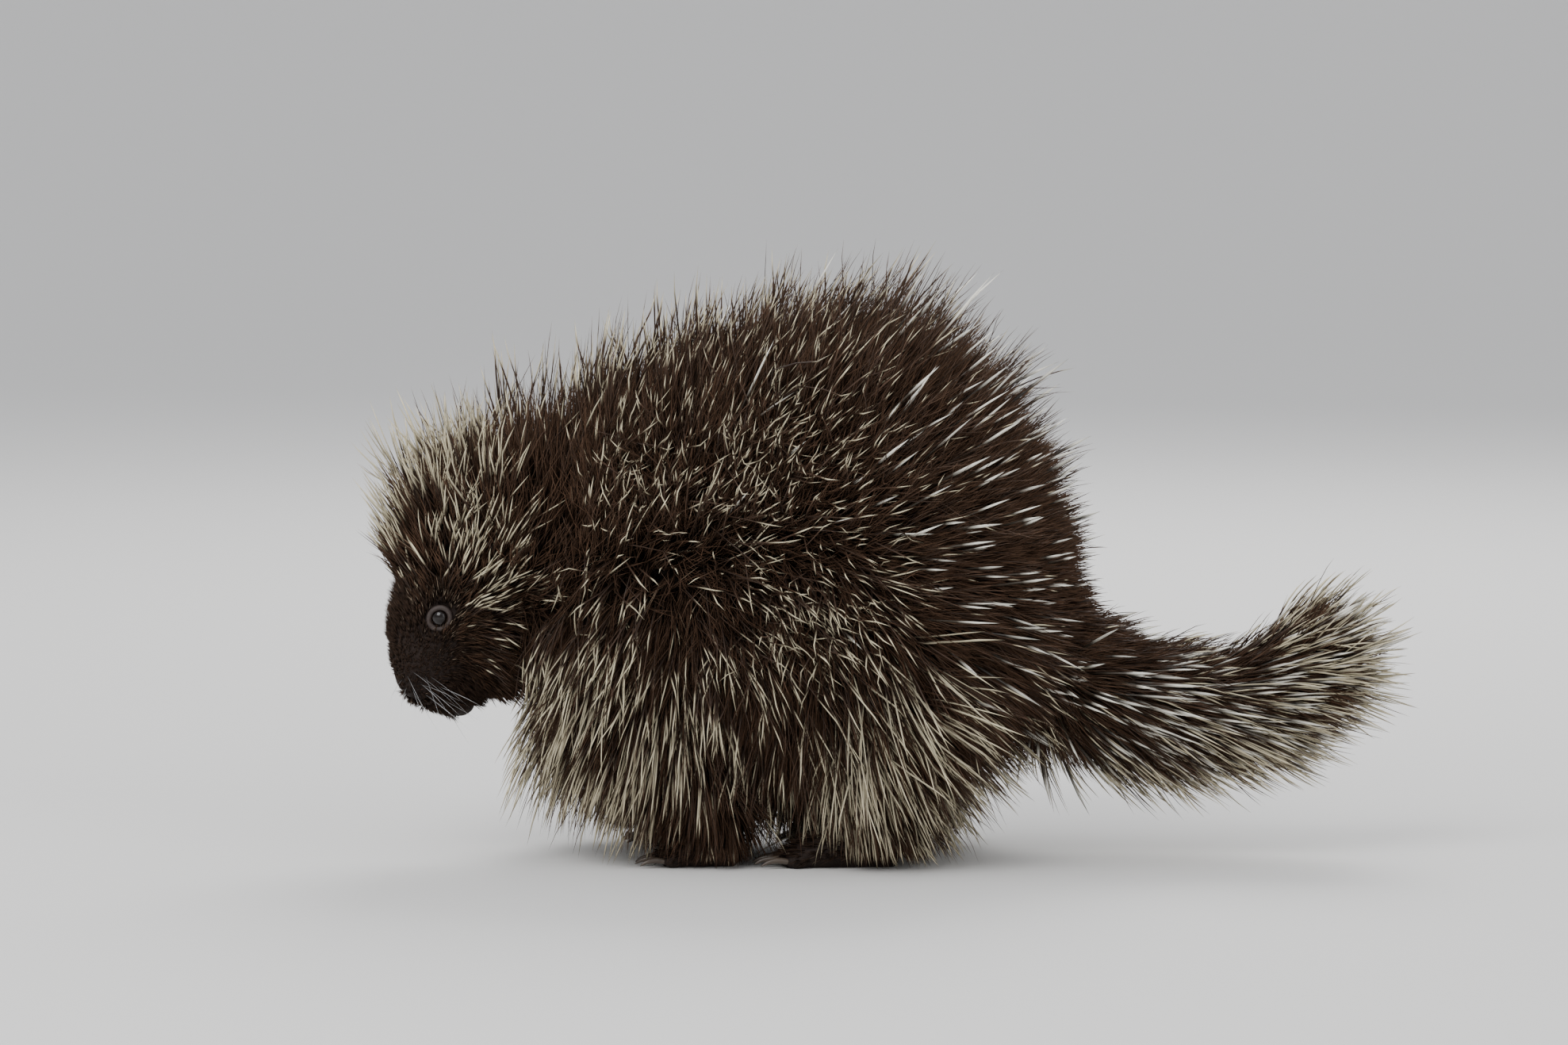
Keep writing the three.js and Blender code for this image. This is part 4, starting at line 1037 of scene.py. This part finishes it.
class PORCUPINE_OT_claws(bpy.types.Operator):
    """Makes the long curved claws of every toe"""

    bl_idname = "porcupine.claws"
    bl_label = "Claws"

    def execute(self, context):
        colours = (0.035, 0.026, 0.020), (0.10, 0.075, 0.055)
        look = material("claw", colours, 0.35, 0.006, [(0.0009, 0.25, 0.0002)])
        bm = bmesh.new()
        for leg, foot in FEET:
            for base, ahead in toe_places(leg, foot):
                self.add_claw(bm, base + ahead * foot["toe"] * 1.1, ahead, foot["claw"])
        bmesh.ops.recalc_face_normals(bm, faces=bm.faces)
        add_piece("claws", mesh_from(bm, "claws"), look)
        return {"FINISHED"}

    def add_claw(self, bm, base, ahead, length):
        points = []
        for share, reach in CLAW:
            past = max(share, 0)
            rise = CLAW_ARCH * math.sin(past * math.pi) - CLAW_DROP * past**3
            spot = base + ahead * share * length + UP * rise
            spot[2] = max(spot[2], reach + CLAW_CLEAR)
            points.append((*spot, reach * 0.85, reach, reach))
        add_tube(bm, limb(points), 12, 20)


class PORCUPINE_OT_wool(bpy.types.Operator):
    """Grows the dense woolly underfur over body, neck, head, tail and legs"""

    bl_idname = "porcupine.wool"
    bl_label = "Underfur"

    def execute(self, context):
        settings = context.scene.porcupine
        tufts = Tufts(np.random.default_rng(21))
        long_coat(tufts, WOOL, settings.wool_tufts, limbs=0.028, shortest=17, clear=12)
        tip = np.array(settings.wool_colour)
        dark = [(0.0, tip * 0.15), (0.5, tip * 0.4), (1.0, tip)]
        pale = [(0.0, tip * 0.5), (1.0, (0.30, 0.22, 0.15))]
        add_coat("underfur", tufts, hair_material("underfur", dark, pale, 0.8, 0.1))
        return {"FINISHED"}


class PORCUPINE_OT_guard_hair(bpy.types.Operator):
    """Grows the long guard hair, with its pale and often kinked outer ends"""

    bl_idname = "porcupine.guard_hair"
    bl_label = "Guard hair"

    def execute(self, context):
        settings = context.scene.porcupine
        tufts = Tufts(np.random.default_rng(22))
        long_coat(
            tufts, GUARD_HAIR, settings.guard_tufts,
            limbs=0.045, shortest=20, clear=13, wanted=lambda at: 0.4 + comb_at(at)["pale"],
        )
        tip = np.array(settings.wool_colour)
        dark = [(0.0, tip * 0.2), (0.6, tip * 0.5), (1.0, tip * 1.2)]
        hair = np.array(settings.guard_colour)
        pale = [(0.3, hair * 0.55), (0.7, hair), (0.9, hair), (1.0, hair * 0.6)]
        add_coat("guard_hair", tufts, hair_material("guard_hair", dark, pale, 0.5))
        return {"FINISHED"}


class PORCUPINE_OT_quills(bpy.types.Operator):
    """Sets the white quills on the rump, the back and the sides of the tail"""

    bl_idname = "porcupine.quills"
    bl_label = "Quills"

    def execute(self, context):
        settings = context.scene.porcupine
        draw = np.random.default_rng(23)
        skin = skin_tree()
        tufts = Tufts(draw)
        for flesh, share in ((trunk, 0.3), (tail, 0.6)):
            count = int(settings.quills * share)
            spread = flesh.roots(count, draw, 0.05, 0.98, lambda at: comb_at(at)["quills"])
            roots = Roots(flesh, spread, skin)
            roots.stray(draw)
            lie = unit(roots.field["lie"] - 0.5 * FORWARD)
            same = np.ones(len(roots.at))
            roots.field |= {"lie": lie, "pale": same, "start": same * 0.52}
            tufts.grow(roots, QUILL)
        quill = np.array(settings.quill_colour)
        dark = [(0.0, (0.02, 0.015, 0.01)), (1.0, (0.06, 0.045, 0.03))]
        pale = [(0.4, quill * 0.7), (0.6, quill), (0.92, quill), (1.0, (0.06, 0.04, 0.03))]
        add_coat("quills", tufts, hair_material("quill", dark, pale, 0.35, 0.5))
        return {"FINISHED"}


class PORCUPINE_OT_short_fur(bpy.types.Operator):
    """Covers the face, the chin and the feet with short dark fur and sets the whiskers"""

    bl_idname = "porcupine.short_fur"
    bl_label = "Short fur"

    def execute(self, context):
        settings = context.scene.porcupine
        draw = np.random.default_rng(24)
        skin = skin_tree()
        tufts = Tufts(draw)
        roots = Roots(skull, skull.roots(settings.face_tufts, draw, 0.2, 0.97), skin, 7)
        bare = distance(roots.at, head_place(NOSE_PAD["ahead"], NOSE_PAD["above"])) < NOSE_PAD["radius"]
        short = roots.field["length"] < FACE_FUR["under"]
        roots.keep(short & ~near_eye(roots.at, FACE_FUR["clear"]) & ~bare)
        shorter = np.interp((roots.at - EYES_AT) @ AHEAD, *FACE_FUR_BY_AHEAD)
        roots.field["length"] = np.minimum(roots.field["length"], FACE_FUR["longest"]) * shorter
        tufts.grow(roots, SHORT_FUR)
        for flesh in feet:
            roots = Roots(flesh, flesh.roots(settings.foot_tufts, draw, 0.05, 0.97), skin)
            on_top = (roots.normals[:, 2] > -0.3) & (roots.at[:, 2] > 4)
            roots.keep(on_top)
            roots.comb((-1.0, 0, -0.25), length=11, lean=0.35, pale=0.1, start=0.6, mess=0.2)
            tufts.grow(roots, SHORT_FUR)
        self.add_whiskers(draw, skin)
        tip = np.array(settings.wool_colour)
        dark = [(0.0, tip * 0.12), (0.5, tip * 0.22), (1.0, tip * 0.55)]
        pale = [(0.0, tip * 0.5), (1.0, (0.30, 0.24, 0.17))]
        add_coat("short_fur", tufts, hair_material("short_fur", dark, pale, 0.6, 0.15))
        return {"FINISHED"}

    def add_whiskers(self, draw, skin):
        """Sets a few long stiff whiskers in each lip pad, swept back and down."""
        roots = Roots(skull, skull.roots(WHISKERS["tried"], draw, 0.7, 0.93), skin, 12)
        apart = [
            distance(roots.at, head_place(LIP_PAD["ahead"], LIP_PAD["above"], side * WHISKERS["side"]))
            for side in (LEFT, RIGHT)
        ]
        chosen = np.flatnonzero(np.minimum(*apart) < WHISKERS["within"])
        roots.keep(draw.choice(chosen, min(WHISKERS["kept"], len(chosen)), replace=False))
        lie = -AHEAD - 0.9 * UP
        roots.comb(lie, length=WHISKERS["length"], lean=0.6, pale=0.2, start=0.1, mess=0.5)
        whiskers = Tufts(draw)
        whiskers.grow(roots, WHISKER)
        tip = (1.0, (1.0, 1.0, 1.0))
        dark, pale = [(0.0, (0.01, 0.008, 0.006)), tip], [(0.0, (0.045, 0.040, 0.036)), tip]
        stiff = hair_material("whisker", dark, pale, 0.6)
        add_coat("whiskers", whiskers, stiff)


# Name, place, size in metres and power of each light, and the place that they are aimed at. The
# camera is aimed at "VIEWED", in millimetres of the source. The floor is flat as far as "flat"
# metres out and then bends up into the backdrop, on a curve with this radius and turn.
LIGHTS = (
    ("key", (-1.6, -2.4, 2.6), 2.2, 95),
    ("fill", (2.6, -2.2, 1.4), 2.4, 32),
    ("rim", (0.5, 2.4, 2.4), 1.8, 70),
)
LIT = Vector((0, 0, 0.2))
VIEWED = (-61.3, 0, 231.6)
FLOOR = {"flat": 6, "radius": 7, "turn": 1.4}


class PORCUPINE_OT_stage(bpy.types.Operator):
    """Lays the pale floor and backdrop, hangs the soft lights and sets the camera"""

    bl_idname = "porcupine.stage"
    bl_label = "Stage"

    def execute(self, context):
        settings = context.scene.porcupine_stage
        bm = bmesh.new()
        flat, radius = FLOOR["flat"], FLOOR["radius"]
        verts = [bm.verts.new((0, 0, 0))]
        for turn in np.linspace(0, FLOOR["turn"], 16):
            reach = flat + radius * math.sin(turn)
            verts.append(bm.verts.new((reach, 0, radius - radius * math.cos(turn))))
        edges = [bm.edges.new(pair) for pair in zip(verts, verts[1:])]
        spin_round(bm, verts + edges, 72, 1e-5)
        bmesh.ops.recalc_face_normals(bm, faces=bm.faces)
        mesh = mesh_from(bm, "floor")
        colour = tuple(settings.floor_colour)
        look = material("floor", (colour, colour), 0.9, 0.5, [(0.004, 0.03, 0.001)])
        mesh.materials.append(look)
        floor = placed("floor", mesh)

        world = bpy.data.worlds.new("studio")
        world.use_nodes = True
        background = world.node_tree.nodes["Background"]
        fill(world.node_tree, background, {"Color": (0.93, 0.95, 1.0, 1), "Strength": 0.95})
        context.scene.world = world
        for name, place, size, power in LIGHTS:
            light = bpy.data.lights.new(name, "AREA")
            light.size = size
            light.energy = power
            lamp = placed(name, light)
            lamp.location = place
            lamp.rotation_euler = (LIT - Vector(place)).to_track_quat("-Z", "Y").to_euler()

        target = Vector(in_frame(VIEWED))
        away = Vector((0, -math.cos(settings.elevation), math.sin(settings.elevation)))
        camera = placed("camera", bpy.data.cameras.new("camera"))
        camera.data.sensor_width = 36
        camera.data.lens = 36 * settings.distance / settings.width
        camera.data.clip_end = 50
        camera.location = target + away * settings.distance
        camera.rotation_euler = (-away).to_track_quat("-Z", "Y").to_euler()
        context.scene.camera = camera
        return {"FINISHED"}


class PORCUPINE_PT_panel(bpy.types.Panel):
    """Lists the pieces of the animal in the order in which they are made"""

    bl_idname = "PORCUPINE_PT_panel"
    bl_label = "Porcupine"
    bl_space_type = "VIEW_3D"
    bl_region_type = "UI"
    bl_category = "Porcupine"

    def draw(self, context):
        for operator in OPERATORS:
            self.layout.operator(operator.bl_idname)


OPERATORS = (
    PORCUPINE_OT_skin,
    PORCUPINE_OT_ears,
    PORCUPINE_OT_eyes,
    PORCUPINE_OT_claws,
    PORCUPINE_OT_wool,
    PORCUPINE_OT_guard_hair,
    PORCUPINE_OT_quills,
    PORCUPINE_OT_short_fur,
    PORCUPINE_OT_stage,
)
CLASSES = (PorcupineSettings, StageSettings, *OPERATORS, PORCUPINE_PT_panel)


def register():
    for cls in CLASSES:
        bpy.utils.register_class(cls)
    bpy.types.Scene.porcupine = bpy.props.PointerProperty(type=PorcupineSettings)
    bpy.types.Scene.porcupine_stage = bpy.props.PointerProperty(type=StageSettings)


def unregister():
    del bpy.types.Scene.porcupine
    del bpy.types.Scene.porcupine_stage
    for cls in reversed(CLASSES):
        bpy.utils.unregister_class(cls)


def main():
    register()
    for operator in OPERATORS:
        step = operator.bl_idname.partition(".")[2]
        getattr(bpy.ops.porcupine, step)()
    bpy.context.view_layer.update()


if __name__ == "__main__":
    main()
